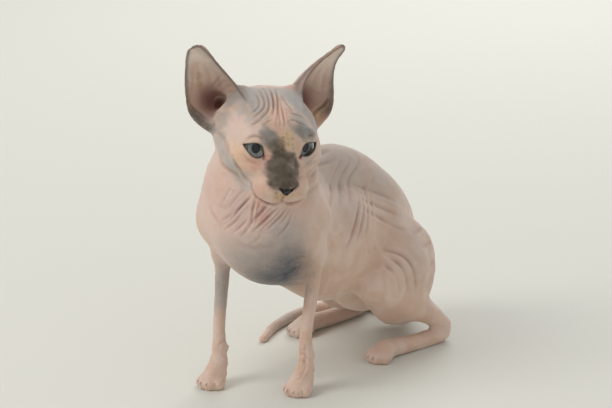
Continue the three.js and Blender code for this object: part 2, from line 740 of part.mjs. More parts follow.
// The parts, in the order in which they are taken from the body: name, cutter and material.
// What one part takes, the later ones don't get.
const world = new Frame([0, 0, 0], STRAIGHT);
const floor = block(world, [-200, -200, -50], [200, 200, 0]);
const neck_top = new Frame(head_frame.at(0, -5, -23), facing(HEAD_TURN, HEAD_DROP + 14, HEAD_TILT));
const neck_root = new Frame([-9, -60, 134], facing(0, 25));
const middle = new Frame([-7, -14, 100], facing(0, -35));
const loin_end = new Frame([-4, 34, 80], facing(HIP_TURN, -30));

const parts = [
  ["head", block(neck_top, [-70, -60, 0], [70, 90, 110]), cream],
  ["neck", block(neck_root, [-60, -80, 0], [60, 70, 80]), rose],
];
for (const [name, leg] of Object.entries(FORELEGS)) {
  const [x, y] = leg.wrist;
  const [ex, ey] = leg.elbow;
  const arm = egg(chest_frame, [leg.side * 40, ey + 6, 116], [21, 29, 34]);
  const knuckles = block(chest_frame, [x - 13, y - 9, -3], [x + 13, y + 24, 15]);
  const forearm = sleeve(chest_frame, [
    [ex, ey - 2, ELBOW_HEIGHT + 4, 12],
    [ex, ey, ELBOW_HEIGHT - 18, 11],
    [x, y, 40, 11],
    [x, y + 2, 8, 15],
  ]);
  parts.push([`forepaw_${name}`, knuckles, rose]);
  parts.push([`upper_arm_${name}`, arm, rose]);
  parts.push([`forearm_${name}`, forearm, rose]);
}
for (const [name, side] of [["left", 1], ["right", -1]]) {
  const out = side * HIND_FOOT_OUT;
  const foot = block(hip_frame, [out - 14, -32, -3], [out + 14, 58, 13]);
  const thigh = egg(hip_frame, [side * 42, 16, 62], [26, 46, 40]);
  const shank = sleeve(hip_frame, [
    [side * 37, 50, 56, 15],
    [side * 37, 22, 38, 15],
    [side * 39, -6, 22, 14],
    [side * 41, -28, 8, 15],
  ]);
  parts.push([`hind_foot_${name}`, foot, rose]);
  parts.push([`thigh_${name}`, thigh, rose]);
  parts.push([`shank_${name}`, shank, rose]);
}
parts.push(["chest", block(middle, [-80, 0, -110], [80, 160, 110]), grey]);
parts.push(["belly", block(loin_end, [-80, 0, -110], [80, 120, 110]), grey]);
parts.push(["hips", block(world, [-100, -60, -5], [100, 150, 190]), grey]);

// The face and the paws keep more of their detail than the trunk.
const outer = (p) => whole_body.distance(p) - SKIN_ROOM;
const detail = (p) => {
  const from_face = sub(p, head_frame.at(0, 18, -6));
  if (dot(from_face, from_face) < 36 ** 2) return 16;
  return p[2] < 16 && p[1] < 50 ? 24 : 1;
};
const body_mesh = meshed(outer, ...BODY_BOX, MESH_CELL);
const body = solid(...thinned(body_mesh, BODY_FACES, detail));
const skull = solid(...thinned(meshed((p) => outer(p) - 2 * GAP, ...HEAD_BOX, MESH_CELL), 1600, () => 1));

// The tail lies on the floor in three lengths, each parted from the next. Its root sits in the rump.
const path = curve(TAIL, 3);
const tail_length = (from, to, room) => {
  const rows = path.slice(from * 3, to * 3 + 1).map(([x, y, z, r]) => [x, y, z, r + room]);
  if (from > 0) rows[0] = rows[0].map((v, i) => v + (rows[1][i] - v) * 0.12);
  return tube(rows, 8).subtract(floor(0));
};
show("tail_root", tail_length(0, 3, 0), rose);
show("tail_middle", tail_length(3, 5, 0), rose);
show("tail_tip", tail_length(5, 7, 0), rose);

const taken = [floor(0)];
for (const [name, cutter, material] of parts) {
  let shape = body.intersect(cutter(0));
  for (const other of taken) shape = shape.subtract(other);
  taken.push(cutter(GAP));
  if (name === "head") {
    for (const side of [-1, 1]) {
      const which = side > 0 ? "left" : "right";
      const socket = egg(head_frame, eye_place(side), [EYE_RADIUS, EYE_RADIUS, EYE_RADIUS], 13);
      shape = shape.subtract(socket(GAP)).subtract(egg(lid_opening(side), [0.3, 8.5, 0.1], LID_OPENING, 12)(0));
      show(`eye_${which}`, socket(0), iris);
      const raised = body.translate(...scaled(ear_frame(side).axes[2], GAP));
      show(`ear_${which}`, ear(side).subtract(skull).subtract(raised).subtract(body), ear_grey);
    }
  }
  if (name === "hips") shape = shape.subtract(tail_length(0, 3, GAP));
  show(name, shape, material);
}

// The origin is the middle of the underside of everything.
const bounds = new THREE.Box3().setFromObject(kitten);
const centre = bounds.getCenter(new THREE.Vector3());
for (const piece of kitten.children) piece.geometry.translate(-centre.x, -centre.y, -bounds.min.z);

export default kitten;
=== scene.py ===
"""A sphynx kitten of about three months as a still, life-size model.

It sits on the floor with its head turned to its left. Shapes are worked out in millimetres, in the
model's own axes: it faces -Y, its left is +X, up is +Z and the floor is at 0. They go into metres, in
the frame's axes, when a mesh is made.
"""

import math

import bpy
import numpy as np
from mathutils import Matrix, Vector


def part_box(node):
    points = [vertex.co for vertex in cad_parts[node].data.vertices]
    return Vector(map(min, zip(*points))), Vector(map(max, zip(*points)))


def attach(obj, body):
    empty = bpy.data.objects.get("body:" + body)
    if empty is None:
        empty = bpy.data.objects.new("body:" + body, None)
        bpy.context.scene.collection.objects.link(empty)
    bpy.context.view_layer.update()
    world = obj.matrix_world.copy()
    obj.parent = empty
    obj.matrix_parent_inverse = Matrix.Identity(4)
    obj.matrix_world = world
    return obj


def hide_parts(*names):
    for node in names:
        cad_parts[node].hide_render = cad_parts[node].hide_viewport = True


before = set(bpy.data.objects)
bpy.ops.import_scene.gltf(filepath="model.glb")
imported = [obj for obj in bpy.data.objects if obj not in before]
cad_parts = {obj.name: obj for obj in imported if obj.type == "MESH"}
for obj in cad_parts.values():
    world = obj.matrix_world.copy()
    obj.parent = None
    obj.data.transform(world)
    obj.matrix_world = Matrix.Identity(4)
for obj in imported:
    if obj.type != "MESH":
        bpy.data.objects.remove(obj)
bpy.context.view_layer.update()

# Driving sizes and the pose
HEAD_TURN, HEAD_DROP, HEAD_TILT = 56.0, 19.0, -4.7
HIP_TURN = -10.0
HEAD_AT = (0.2, -71.4, 176.0)
CHEST_AT = (-7.0, -66.0, 0.0)
HIPS_AT = (-2.0, 66.0, 0.0)
EYE_RADIUS = 9.2
EYE_PLACE = (16.5, 12.0, -0.5)
EYE_LINE = (0.84, -0.41, 0.31)
EYE_AHEAD = (0.25, 0.88, 0.40)
GAZE = {1: (0.22, 0.81, 0.37), -1: (-0.06, 0.81, 0.39)}
LID_THICKNESS = 1.4
LID_HALF_WIDTH = 7.5
UPPER_LID_HEIGHT = 4.9
LOWER_LID_DEPTH = 3.8
LID_LINE_DROP = {1: 0.35, -1: 0.8}
LID_CENTRE = 0.1
LID_REACH = 13.0
UPPER_LID_LEAN = {1: 0.42, -1: 0.18}
UPPER_LID_ARCH = {1: 0.85, -1: 1.1}
LOWER_LID_LEAN, LOWER_LID_ARCH = 0.3, 0.7
IRIS_RADIUS = 6.2
PUPIL_RADIUS = 3.7
PUPIL_NARROWING = 0.14
CORNEA_RADIUS = 7.8
CORNEA_EDGE = 6.6
EAR_LENGTH = 49.8
EAR_THICKNESS = 1.7
EAR_ROOT = (28.0, -11.5, 10.5)
EAR_UP = (0.462, -0.353, 0.813)
EAR_OUT = (0.717, -0.390, -0.577)
FAR = 30.0
MM = 0.001

# Size of the grid that the skin is meshed on, near the head and the paws and elsewhere
FINE, COARSE = ((0.56, 1.0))

FORELEGS = {
    "left": (1, (26.7, -6.6), (28.0, -12.0), (26.0, 6.0)),
    "right": (-1, (-29.2, 15.8), (-30.0, 11.0), (-26.0, 21.0)),
}
HIND_PAW = (39.0, 34.0)
CLAW_RADIUS = 1.05
CLAW_FLATNESS = 0.62
TOES = ((-6.6, 11.0), (-2.4, 14.5), (2.4, 14.5), (6.6, 11.0))
BACK = (
    (-6, -56, 141, 14),
    (-7, -20, 141, 13),
    (-8, 14, 137, 14),
    (-6, 48, 118, 15),
    (-3, 77, 87, 15),
    (0, 90, 48, 12),
)
TAIL = (
    (0, 90, 42, 8.6),
    (0, 101, 25, 7.0),
    (-10, 109, 10, 5.8),
    (-38, 106, 4.6, 5.0),
    (-60, 88, 4.1, 4.5),
    (-70, 58, 3.6, 4.0),
    (-69, 28, 3.0, 3.4),
    (-61, 2, 2.3, 2.7),
)


# Turns and frames
def unit(v):
    v = np.array(v, float)
    return v / np.linalg.norm(v)


def facing(turn, drop=0.0, tilt=0.0):
    """Columns are the left, forward and up directions."""
    a, b, c = np.radians([turn, drop, tilt])
    ahead = np.array([np.sin(a), -np.cos(a), 0.0])
    left = np.array([np.cos(a), np.sin(a), 0.0])
    rise = np.array([0.0, 0.0, 1.0])
    forward = ahead * np.cos(b) - rise * np.sin(b)
    up = rise * np.cos(b) + ahead * np.sin(b)
    return np.stack([left * np.cos(c) + up * np.sin(c), forward, up * np.cos(c) - left * np.sin(c)], 1)


def nose_up(degrees):
    a = math.radians(degrees)
    return np.array([[1, 0, 0], [0, math.cos(a), -math.sin(a)], [0, math.sin(a), math.cos(a)]])


def toed_right(degrees):
    a = math.radians(degrees)
    return np.array([[math.cos(a), -math.sin(a), 0], [math.sin(a), math.cos(a), 0], [0, 0, 1]])


# Solids, each with the box that it lies in and a function that gives distances from points
class Solid:
    def __init__(self, low, high, exact):
        self.low, self.high, self.exact = np.array(low, float), np.array(high, float), exact

    def near(self, p, room):
        return np.flatnonzero(np.all((p > self.low - room) & (p < self.high + room), axis=1))

    def distance(self, p, room=8.0):
        d = np.full(len(p), FAR)
        near = self.near(p, room)
        if len(near):
            d[near] = self.exact(p[near], room)
        return d


def ball(centre, size, axes=np.eye(3)):
    centre, size = np.array(centre, float), np.array(size, float)
    reach = np.sqrt(((axes * size) ** 2).sum(1))

    def exact(p, room):
        q = (p - centre) @ (axes / size)
        near = np.sqrt((q * q).sum(1))
        slope = np.sqrt(((q / size) ** 2).sum(1))
        return near * (near - 1.0) / np.maximum(slope, 1e-6)

    return Solid(centre - reach, centre + reach, exact)


def bar(a, b, ra, rb):
    """A round bar whose radius runs from ra at a to rb at b."""
    a, b = np.array(a, float), np.array(b, float)
    run = b - a
    n = run @ run
    fall = ra - rb
    slant = n - fall * fall

    def exact(p, room):
        q = p - a
        along = q @ run
        past = along - n
        off = q * n - np.outer(along, run)
        off2 = (off * off).sum(1)
        k = np.sign(fall) * fall * fall * off2
        end_a = np.sqrt(off2 + along * along * n) / n - ra
        end_b = np.sqrt(off2 + past * past * n) / n - rb
        side = (np.sqrt(off2 * slant / n) + along * fall) / n - ra
        inside = np.where(np.sign(along) * slant * along * along * n < k, end_a, side)
        return np.where(np.sign(past) * slant * past * past * n > k, end_b, inside)

    r = max(ra, rb)
    return Solid(np.minimum(a, b) - r, np.maximum(a, b) + r, exact)


def curve(rows, steps):
    """A smooth curve through rows of numbers, with steps for each span."""
    rows = np.array(rows, float)
    ends = np.concatenate([[2 * rows[0] - rows[1]], rows, [2 * rows[-1] - rows[-2]]])
    out = []
    for a, b, c, d in zip(ends, ends[1:], ends[2:], ends[3:]):
        for t in np.arange(steps) / steps:
            line = 2 * b + (c - a) * t
            out.append(0.5 * (line + (2 * a - 5 * b + 4 * c - d) * t**2 + (3 * b - a - 3 * c + d) * t**3))
    return np.array(out + [rows[-1]])


def box_round(solids):
    return np.min([s.low for s in solids], 0), np.max([s.high for s in solids], 0)


def rope(rows, steps=6):
    """A rope through rows of x, y, z and radius."""
    points = curve(rows, steps)
    bars = [bar(a[:3], b[:3], a[3], b[3]) for a, b in zip(points, points[1:])]

    def exact(p, room):
        d = np.full(len(p), FAR)
        for one in bars:
            near = one.near(p, room)
            if len(near):
                d[near] = np.minimum(d[near], one.exact(p[near], room))
        return d

    return Solid(*box_round(bars), exact)


def blend(a, b, width):
    near = np.maximum(width - np.abs(a - b), 0.0) / width
    return np.minimum(a, b) - near * near * width * 0.25


def grown(steps):
    """Solids joined or cut in turn: each step is (solid, width of the blend) or (solid, width, 'cut')."""

    def exact(p, room):
        d = np.full(len(p), FAR)
        for one, width, *cut in steps:
            near = one.near(p, room + width)
            if not len(near):
                continue
            e = one.exact(p[near], room + width)
            d[near] = -blend(-d[near], e, width) if cut else blend(d[near], e, width)
        return d

    return Solid(*box_round([s[0] for s in steps if len(s) == 2]), exact)


class Frame:
    def __init__(self, origin, axes):
        self.origin, self.axes = np.array(origin, float), np.array(axes, float)

    def at(self, *v):
        return self.origin + self.axes @ np.array(v, float)

    def local(self, p):
        return (p - self.origin) @ self.axes

    def ball(self, centre, size, turned=np.eye(3)):
        return ball(self.at(*centre), size, self.axes @ turned)

    def bar(self, a, b, ra, rb):
        return bar(self.at(*a), self.at(*b), ra, rb)

    def rope(self, rows, steps=6):
        return rope([(*self.at(x, y, z), r) for x, y, z, r in rows], steps)


head_frame = Frame(HEAD_AT, facing(HEAD_TURN, HEAD_DROP, HEAD_TILT))
chest_frame = Frame(CHEST_AT, facing(0))
hip_frame = Frame(HIPS_AT, facing(HIP_TURN))


# The photograph's camera, and where a pixel of the photograph meets a solid
PHOTO_SIZE = (612, 408)
VIEW_TURN, VIEW_RISE = math.radians(35), math.radians(16)
VIEW_TARGET = np.array([8.2, -43.1, 124.6])
VIEW_DISTANCE = 1500.0
VIEW_FOCAL = 2250.0
view_back = np.array(
    [
        math.sin(VIEW_TURN) * math.cos(VIEW_RISE),
        -math.cos(VIEW_TURN) * math.cos(VIEW_RISE),
        math.sin(VIEW_RISE),
    ]
)
view_right = np.array([math.cos(VIEW_TURN), math.sin(VIEW_TURN), 0.0])
view_up = np.cross(view_back, view_right)
view_eye = VIEW_TARGET + view_back * VIEW_DISTANCE


def seen_at(solid, pixels):
    """Points of the solid's surface seen at pixels of the photograph."""
    pixels = np.array(pixels, float)
    x = pixels[:, :1] - PHOTO_SIZE[0] / 2
    y = PHOTO_SIZE[1] / 2 - pixels[:, 1:2]
    run = -view_back * VIEW_FOCAL + view_right * x + view_up * y
    run /= np.linalg.norm(run, axis=1)[:, None]
    p = view_eye + run * (VIEW_DISTANCE - 150.0)
    for _ in range(40):
        p = p + run * np.clip(solid.distance(p, 14.0), -2.0, 8.0)[:, None] * 0.9
    return p


def all_at_once(place, curves):
    """Each curve's points placed by a function that takes them all in one go."""
    joined = place(np.concatenate([np.array(c, float) for c in curves]))
    return np.split(joined, np.cumsum([len(c) for c in curves])[:-1])


# The eyes' opening
def mirrored(v, side):
    return (side * v[0], *v[1:])


def eye_frame(side):
    line = unit(EYE_LINE)
    ahead = np.array(EYE_AHEAD)
    ahead = unit(ahead - (ahead @ line) * line)
    up = np.cross(line, ahead)
    axes = np.stack([line, ahead, up], 1) * np.array([[side], [1], [1]])
    return Frame(head_frame.at(*mirrored(EYE_PLACE, side)), head_frame.axes @ axes)


def lid_edge(q, side):
    """How far points, in an eye's frame, are outside the opening of its lids."""
    t = np.clip((q[:, 0] - LID_CENTRE) / LID_HALF_WIDTH, -1.4, 1.4)
    corner = np.maximum(1 - t * t, 0.0)
    upper = np.maximum(1 - (t + UPPER_LID_LEAN[side] * corner) ** 2, 0) ** UPPER_LID_ARCH[side]
    lower = np.maximum(1 - (t + LOWER_LID_LEAN * corner) ** 2, 0) ** LOWER_LID_ARCH
    top = UPPER_LID_HEIGHT * upper - LID_LINE_DROP[side]
    low = -LOWER_LID_DEPTH * lower - LID_LINE_DROP[side]
    beyond = (np.abs(t) - 1.0) * LID_HALF_WIDTH
    gap = np.maximum(q[:, 2] - top, low - q[:, 2]) * 0.85
    return np.maximum(gap, beyond)


def lid_opening(side):
    eye = eye_frame(side)

    def exact(p, room):
        q = eye.local(p)
        return np.maximum(lid_edge(q, side), 1.5 - q[:, 1])

    return Solid(eye.origin - LID_REACH, eye.origin + LID_REACH, exact)


# The ears' scoops: height up the ear, inner rim (out, front), outer rim (out, front) and how deep they are
EAR_RIMS = (
    (-0.18, -19.0, 9.0, 14.0, 2.5, 16.5),
    (0.0, -17.2, 5.0, 20.8, 1.5, 20.5),
    (0.2, -12.0, -4.6, 23.2, 1.4, 18.8),
    (0.4, -7.8, -8.4, 21.8, -1.9, 13.5),
    (0.6, -4.9, -8.2, 19.2, -6.8, 7.6),
    (0.8, -3.8, -4.5, 14.0, -7.3, 3.2),
    (0.9, -3.1, -2.4, 10.2, -4.8, 1.9),
    (0.95, -2.6, -1.2, 8.0, -3.3, 1.2),
    (0.97, -2.0, -0.8, 6.8, -2.6, 0.9),
    (0.985, -1.3, -0.5, 5.5, -1.9, 0.6),
    (0.995, -0.2, -0.4, 4.1, -1.3, 0.4),
    (1.0, 0.8, -0.4, 2.9, -0.8, 0.2),
)
ear_rows = curve(EAR_RIMS, 8)


def ear_scoop(q):
    """Place of ear-frame points on the scoop: along it, half its width, off it and the rims' slope."""
    u = np.clip(q[:, 2] / EAR_LENGTH, EAR_RIMS[0][0], 1.0)
    ia, ib, oa, ob, depth = (np.interp(u, ear_rows[:, 0], ear_rows[:, k]) for k in range(1, 6))
    wide_a, wide_b = (oa - ia) / 2, (ob - ib) / 2
    half = np.maximum(np.sqrt(wide_a**2 + wide_b**2), 0.3)
    x = q[:, 0] - (oa + ia) / 2
    y = q[:, 1] - (ob + ib) / 2
    along = (x * wide_a + y * wide_b) / half
    back = (x * wide_b - y * wide_a) / half
    radius = (half**2 + depth**2) / (2 * depth)
    off_centre = back - (depth - radius)
    turn = np.arctan2(along, off_centre)
    most = 2 * np.arctan(depth / half)
    off = radius - np.hypot(along, off_centre)
    over = np.where(np.abs(turn) > most, np.hypot(np.abs(along) - half, back), 0.0)
    return u, along / half, half, off, over


def ear_frame(side):
    up = unit(EAR_UP)
    out = np.array(EAR_OUT)
    out = unit(out - (out @ up) * up)
    axes = np.stack([out, np.cross(up, out), up], 1) * np.array([[side], [1], [1]])
    return Frame(head_frame.at(*mirrored(EAR_ROOT, side)), head_frame.axes @ axes)


def ear(side):
    place = ear_frame(side)
    step = np.array([0.0, 0.0, 0.4])

    def exact(p, room):
        q = place.local(p)
        u, _, _, off, over = ear_scoop(q)
        lean = (ear_scoop(q + step)[3] - ear_scoop(q - step)[3]) / (2 * step[2])
        slope = 1.0 + 0.9 * np.clip((u - 0.75) / 0.25, 0, 1)
        below = np.maximum(EAR_RIMS[0][0] * EAR_LENGTH - q[:, 2], 0)
        end = np.maximum(q[:, 2] - EAR_LENGTH, 0) + below
        rim = np.where(over > 0, over / slope, np.abs(off) / np.sqrt(1 + np.minimum(lean * lean, 2.0)))
        return np.hypot(rim, end) - EAR_THICKNESS / 2

    rims = [(r[k], r[k + 1] - d, r[0] * EAR_LENGTH) for r in EAR_RIMS for k in (1, 3) for d in (0, r[5])]
    rims = place.origin + np.array(rims) @ place.axes.T
    return Solid(rims.min(0) - 2, rims.max(0) + 2, exact)


def tear_duct(side):
    eye = eye_frame(side)
    return bar(eye.at(-6.8, 6.0, -1.6), eye.at(-9.4, 9.0, -2.8), 1.6, 0.8)


def ear_root(side):
    """Flesh that runs from the crown up the back of the ear."""
    place = ear_frame(side)
    return grown(
        [
            (place.bar((-9, -14, -7), (-11, -13, 9), 7.5, 2), 4),
            (place.bar((9, -20, 8), (2, -20, -4), 7, 9), 6),
        ]
    )


def ear_hollow(side):
    """Room in front of the ear's scoop, where the temple makes way for it."""
    place = ear_frame(side)
    return ball(place.at(3, -1, 18.5), (18, 9.5, 14.5), place.axes)


def ear_canal(side):
    place = ear_frame(side)
    return bar(place.at(10, -11, 11), place.at(6, -18, 2), 7, 3.6)


# The head
def head():
    h = head_frame
    steps = [
        (h.ball((0, -9, 0), (29, 31, 26)), 4),
        (h.ball((0, 9, 6), (22, 17, 13), nose_up(-38)), 8),
        (h.ball((0, -22, -8), (23, 19, 19)), 10),
        (h.bar((-13, -18, 10), (13, -18, 10), 12.6, 12.6), 8),
    ]
    for s in (-1, 1):
        steps += [
            (h.ball((s * 24, 3, -7), (10.5, 17, 11), toed_right(s * 14)), 8),
            (h.ball((s * 19.5, -5, -16.4), (11, 15, 10.4)), 8),
            (h.bar((s * 15.5, 0, -17.5), (s * 4.2, 20.5, -21.5), 7, 4.2), 7),
            (h.bar((s * 10, 17.5, 8.5), (s * 20, 13.5, 9.5), 3.6, 3.6), 6),
            (h.bar((s * 12, 21.5, -9.5), (s * 24, 12, -7), 5.5, 5.5), 6),
            (h.bar((s * 11, 23.5, -12.5), (s * 22.5, 9, -11), 5.4, 6.6), 6),
            (h.ball((s * 9.0, 28.8, -19.6), (9.9, 9.8, 9.6), toed_right(s * 14)), 3),
        ]
    steps += [
        (h.bar((0, 16, 5), (0, 34.5, -10.5), 7.5, 5.2), 6),
        (h.bar((0, 22, -12), (0, 31, -17), 11, 7.6), 6),
        (h.ball((0, 24.5, -25), (6.2, 6.3, 4.1)), 3),
        (h.ball((0, 37.2, -14.4), (5.8, 4, 4)), 2.5),
    ]
    for s in (-1, 1):
        steps.append((h.bar((s * 2.6, 41.5, -16.6), (s * 5.4, 38.0, -14.8), 1.1, 0.7), 0.7, "cut"))
    lid = EYE_RADIUS + LID_THICKNESS
    for s in (-1, 1):
        steps += [
            (h.ball(mirrored(EYE_PLACE, s), (lid, lid, lid)), 2.5),
            (lid_opening(s), 0.9, "cut"),
            (tear_duct(s), 0.8, "cut"),
            (h.ball((s * 26.5, -15, -1), (8, 13, 12)), 8),
            (ear_root(s), 6),
            (ear_hollow(s), 3, "cut"),
            (ear(s), 3.0),
            (ear_canal(s), 4, "cut"),
        ]
    return grown(steps)


def trunk():
    lean = unit((0, -0.8, 0.6))
    ribs = np.stack([[1, 0, 0], lean, np.cross([1, 0, 0], lean)], 1)
    return grown(
        [
            (ball((-7, -48, 109.5), (32.5, 54, 39.5), ribs), 4),
            (ball((-5, -2, 87.5), (34, 44, 42.5)), 14),
            (ball((-4, 46, 72), (32, 42, 48)), 14),
            (ball((-3, -68, 98), (21, 24, 22)), 12),
            (rope(BACK), 10),
            (hip_frame.ball((0, -16, 34), (27, 20, 30)), 10),
        ]
    )


def neck():
    nape = head_frame.at(1, -17, -10)
    return rope([(-8, -74, 118, 34), (-13.5, -72, 141, 33), (*nape, 16)])


def paw(place, x, y):
    steps = []
    for out, ahead in TOES:
        steps.append((place.bar((x + out * 0.6, y + 3, 8.5), (x + out, y + ahead, 3.3), 3.6, 4.0), 2))
    return grown(steps + [(place.ball((x, y + 6, 3.2), (7.5, 7, 4)), 3)])


def foreleg(side, wrist, elbow, shoulder):
    c = chest_frame
    x, y = wrist
    ex, ey = elbow
    shaft = [(ex, ey - 1, 94, 6), (ex, ey, 72, 4.7), (x, y, 42, 4.1), (x, y, 26, 4.9), (x, y + 1, 15, 5.1)]
    return grown(
        [
            (c.bar((*shoulder, 116), (side * 15, ey - 8, 150), 12, 9), 4),
            (c.bar((*shoulder, 121), (ex, ey, 91), 10.5, 6), 8),
            (c.ball((side * 27, ey + 2, 120), (10.5, 15.5, 17)), 10),
            (c.rope(shaft), 6),
            (c.ball((x, y - 5, 24), (3, 3.2, 3.6)), 3),
            (c.bar((x, y + 1, 15), (x, y + 8, 8), 5.6, 6.6), 4),
            (paw(c, x, y), 3),
        ]
    )


def hindleg(side):
    h = hip_frame
    s = side
    shank = [(s * 37, 46, 54, 11), (s * 37, 22, 40, 11), (s * 39, -6, 24, 8), (s * 41, -17, 15, 6.2)]
    heel = [(s * 41, -21, 12, 5.6), (s * 41, -17, 6, 6.2), (s * 40, 8, 5.4, 5.8), (s * 39, 34, 7, 6.4)]
    return grown(
        [
            (h.ball((s * 25, 8, 54), (18, 36, 38), toed_right(-s * 8)), 4),
            (h.rope([(s * 27, 16, 60, 22), (s * 33, 34, 62, 17), (s * 36, 48, 58, 12)]), 10),
            (h.rope(shank), 8),
            (h.rope(heel), 4),
            (paw(h, s * HIND_PAW[0], HIND_PAW[1]), 3),
        ]
    )


body = grown(
    [
        (trunk(), 10),
        (neck(), 14),
        (foreleg(*FORELEGS["right"]), 9),
        (hindleg(-1), 6),
        (foreleg(*FORELEGS["left"]), 9),
        (hindleg(1), 6),
        (rope(TAIL), 5),
        (head(), 6),
    ]
)


# Meshing the skin
def grid_lines(low, high, fine_spans):
    """Grid lines that stand closer in the fine spans, a multiple of four apart in number."""
    lines = [low]
    while lines[-1] < high or (len(lines) - 1) % 4:
        away = min(max(a - lines[-1], lines[-1] - b, 0.0) for a, b in fine_spans)
        lines.append(lines[-1] + FINE + (COARSE - FINE) * min(away / 12.0, 1.0))
    return np.array(lines)


def skin_grid(solid, axes):
    """Distances on the grid, in full only in blocks of four cells that the surface may pass through."""
    ends = [a[::4] for a in axes]
    middles = [(a[1:] + a[:-1]) / 2 for a in ends]
    halves = [(a[1:] - a[:-1]) / 2 for a in ends]
    shape = tuple(len(m) for m in middles)
    places = np.stack(np.meshgrid(*middles, indexing="ij"), -1).reshape(-1, 3)
    half = np.sqrt(
        halves[0][:, None, None] ** 2 + halves[1][None, :, None] ** 2 + halves[2][None, None, :] ** 2
    )
    rough = solid.distance(places, 10.0).reshape(shape)
    near = np.abs(rough) < half * 1.45 + 0.8
    values = np.where(rough < 0, -FAR, FAR).astype(np.float32)
    wanted = np.zeros([len(a) for a in axes], bool)
    full = np.full([len(a) for a in axes], FAR, np.float32)
    full[:-1, :-1, :-1] = values.repeat(4, 0).repeat(4, 1).repeat(4, 2)
    blocks = near.repeat(4, 0).repeat(4, 1).repeat(4, 2)
    wanted[:-1, :-1, :-1] = blocks
    for i in (0, 1):
        for j in (0, 1):
            for k in (0, 1):
                part = wanted[i : i + blocks.shape[0], j : j + blocks.shape[1], k : k + blocks.shape[2]]
                part |= blocks
    i, j, k = np.nonzero(wanted)
    count = len(i)
    d = np.empty(count, np.float32)
    for start in range(0, count, 400000):
        cut = slice(start, start + 400000)
        p = np.stack([axes[0][i[cut]], axes[1][j[cut]], axes[2][k[cut]]], 1)
        d[cut] = solid.distance(p, 4.0)
    full[i, j, k] = d
    return full


def skin_mesh(values, axes):
    """One vertex in each cell that the surface passes through, and one quad across each crossed edge."""
    inside = values < 0
    n = np.array(values.shape) - 1
    count = np.zeros(n, np.uint8)
    corners = [(i, j, k) for i in (0, 1) for j in (0, 1) for k in (0, 1)]
    for i, j, k in corners:
        count += inside[i : n[0] + i, j : n[1] + j, k : n[2] + k]
    cells = np.argwhere((count > 0) & (count < 8))
    index = np.full(n, -1, np.int64)
    index[tuple(cells.T)] = np.arange(len(cells))
    total = np.zeros((len(cells), 3))
    hits = np.zeros(len(cells))
    for corner in corners:
        for axis in range(3):
            if corner[axis]:
                continue
            start = cells + np.array(corner)
            end = start.copy()
            end[:, axis] += 1
            a, b = values[tuple(start.T)], values[tuple(end.T)]
            crossed = (a < 0) != (b < 0)
            t = (a[crossed] / (a[crossed] - b[crossed]))[:, None]
            p = np.stack([axes[x][start[crossed, x]] for x in range(3)], 1)
            q = np.stack([axes[x][end[crossed, x]] for x in range(3)], 1)
            total[crossed] += p + (q - p) * t
            hits[crossed] += 1
    quads = []
    for axis, (u, v) in enumerate(((1, 2), (2, 0), (0, 1))):
        low = inside[tuple(slice(0, -1) if x == axis else slice(None) for x in range(3))]
        high = inside[tuple(slice(1, None) if x == axis else slice(None) for x in range(3))]
        edges = np.argwhere(low != high)
        out = low[tuple(edges.T)]
        ring = []
        for a, b in ((1, 1), (0, 1), (0, 0), (1, 0)):
            cell = edges.copy()
            cell[:, u] -= a
            cell[:, v] -= b
            ring.append(index[tuple(cell.T)])
        ring = np.stack(ring, 1)
        quads.append(np.where(out[:, None], ring, ring[:, ::-1]))
    return total / hits[:, None], np.concatenate(quads)


def slope_of(solid, p, step=0.12):
    out = np.empty_like(p)
    for axis in range(3):
        e = np.zeros(3)
        e[axis] = step
        out[:, axis] = (solid.distance(p + e, 4.0) - solid.distance(p - e, 4.0)) / (2 * step)
    return out


def settled(solid, p, reach):
    """Points moved onto the solid's surface, with the surface's outward direction there."""
    for _ in range(2):
        slope = slope_of(solid, p)
        step = slope * (solid.distance(p, 4.0) / np.maximum((slope**2).sum(1), 0.1))[:, None]
        size = np.linalg.norm(step, axis=1)[:, None]
        p = p - step * np.minimum(1.0, reach / np.maximum(size, 1e-9))
    slope = slope_of(solid, p)
    return p, slope / np.maximum(np.linalg.norm(slope, axis=1)[:, None], 1e-9)


# Moving from the model's own millimetres to the frame's metres: the left eye's ball is in both.
eye_low, eye_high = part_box("eye_left")
shift = (np.array(eye_low) + np.array(eye_high)) / 2 - eye_frame(1).origin * MM
shift[2] = 0.0


def in_frame(p):
    return np.asarray(p) * MM + shift


def mesh_object(name, points, faces, material):
    """An object from points in the model's millimetres and faces that all have as many corners."""
    mesh = bpy.data.meshes.new(name)
    faces = np.asarray(faces)
    corners = faces.shape[1]
    mesh.vertices.add(len(points))
    mesh.vertices.foreach_set("co", in_frame(points).astype(np.float32).ravel())
    mesh.loops.add(faces.size)
    mesh.loops.foreach_set("vertex_index", faces.astype(np.int32).ravel())
    mesh.polygons.add(len(faces))
    mesh.polygons.foreach_set("loop_start", np.arange(0, faces.size, corners, dtype=np.int32))
    mesh.update(calc_edges=True)
    mesh.validate()
    mesh.shade_smooth()
    mesh.materials.append(material)
    piece = bpy.data.objects.new(name, mesh)
    bpy.context.scene.collection.objects.link(piece)
    return piece


def point_values(piece, name, values):
    """Puts a number, or three, on each point of the piece's mesh for its material to read."""
    kind, field = ("FLOAT_VECTOR", "vector") if values.ndim == 2 else ("FLOAT", "value")
    attribute = piece.data.attributes.new(name, kind, "POINT")
    attribute.data.foreach_set(field, values.astype(np.float32).ravel())


def plain_material(name, colour, roughness, **settings):
    """A material of one colour. Further settings name the shader's sockets, with _ for a space."""
    material = bpy.data.materials.new(name)
    material.use_nodes = True
    shader = material.node_tree.nodes["Principled BSDF"]
    shader.inputs["Base Color"].default_value = (*colour, 1)
    shader.inputs["Roughness"].default_value = roughness
    for socket, value in settings.items():
        shader.inputs[socket.replace("_", " ")].default_value = value
    return material


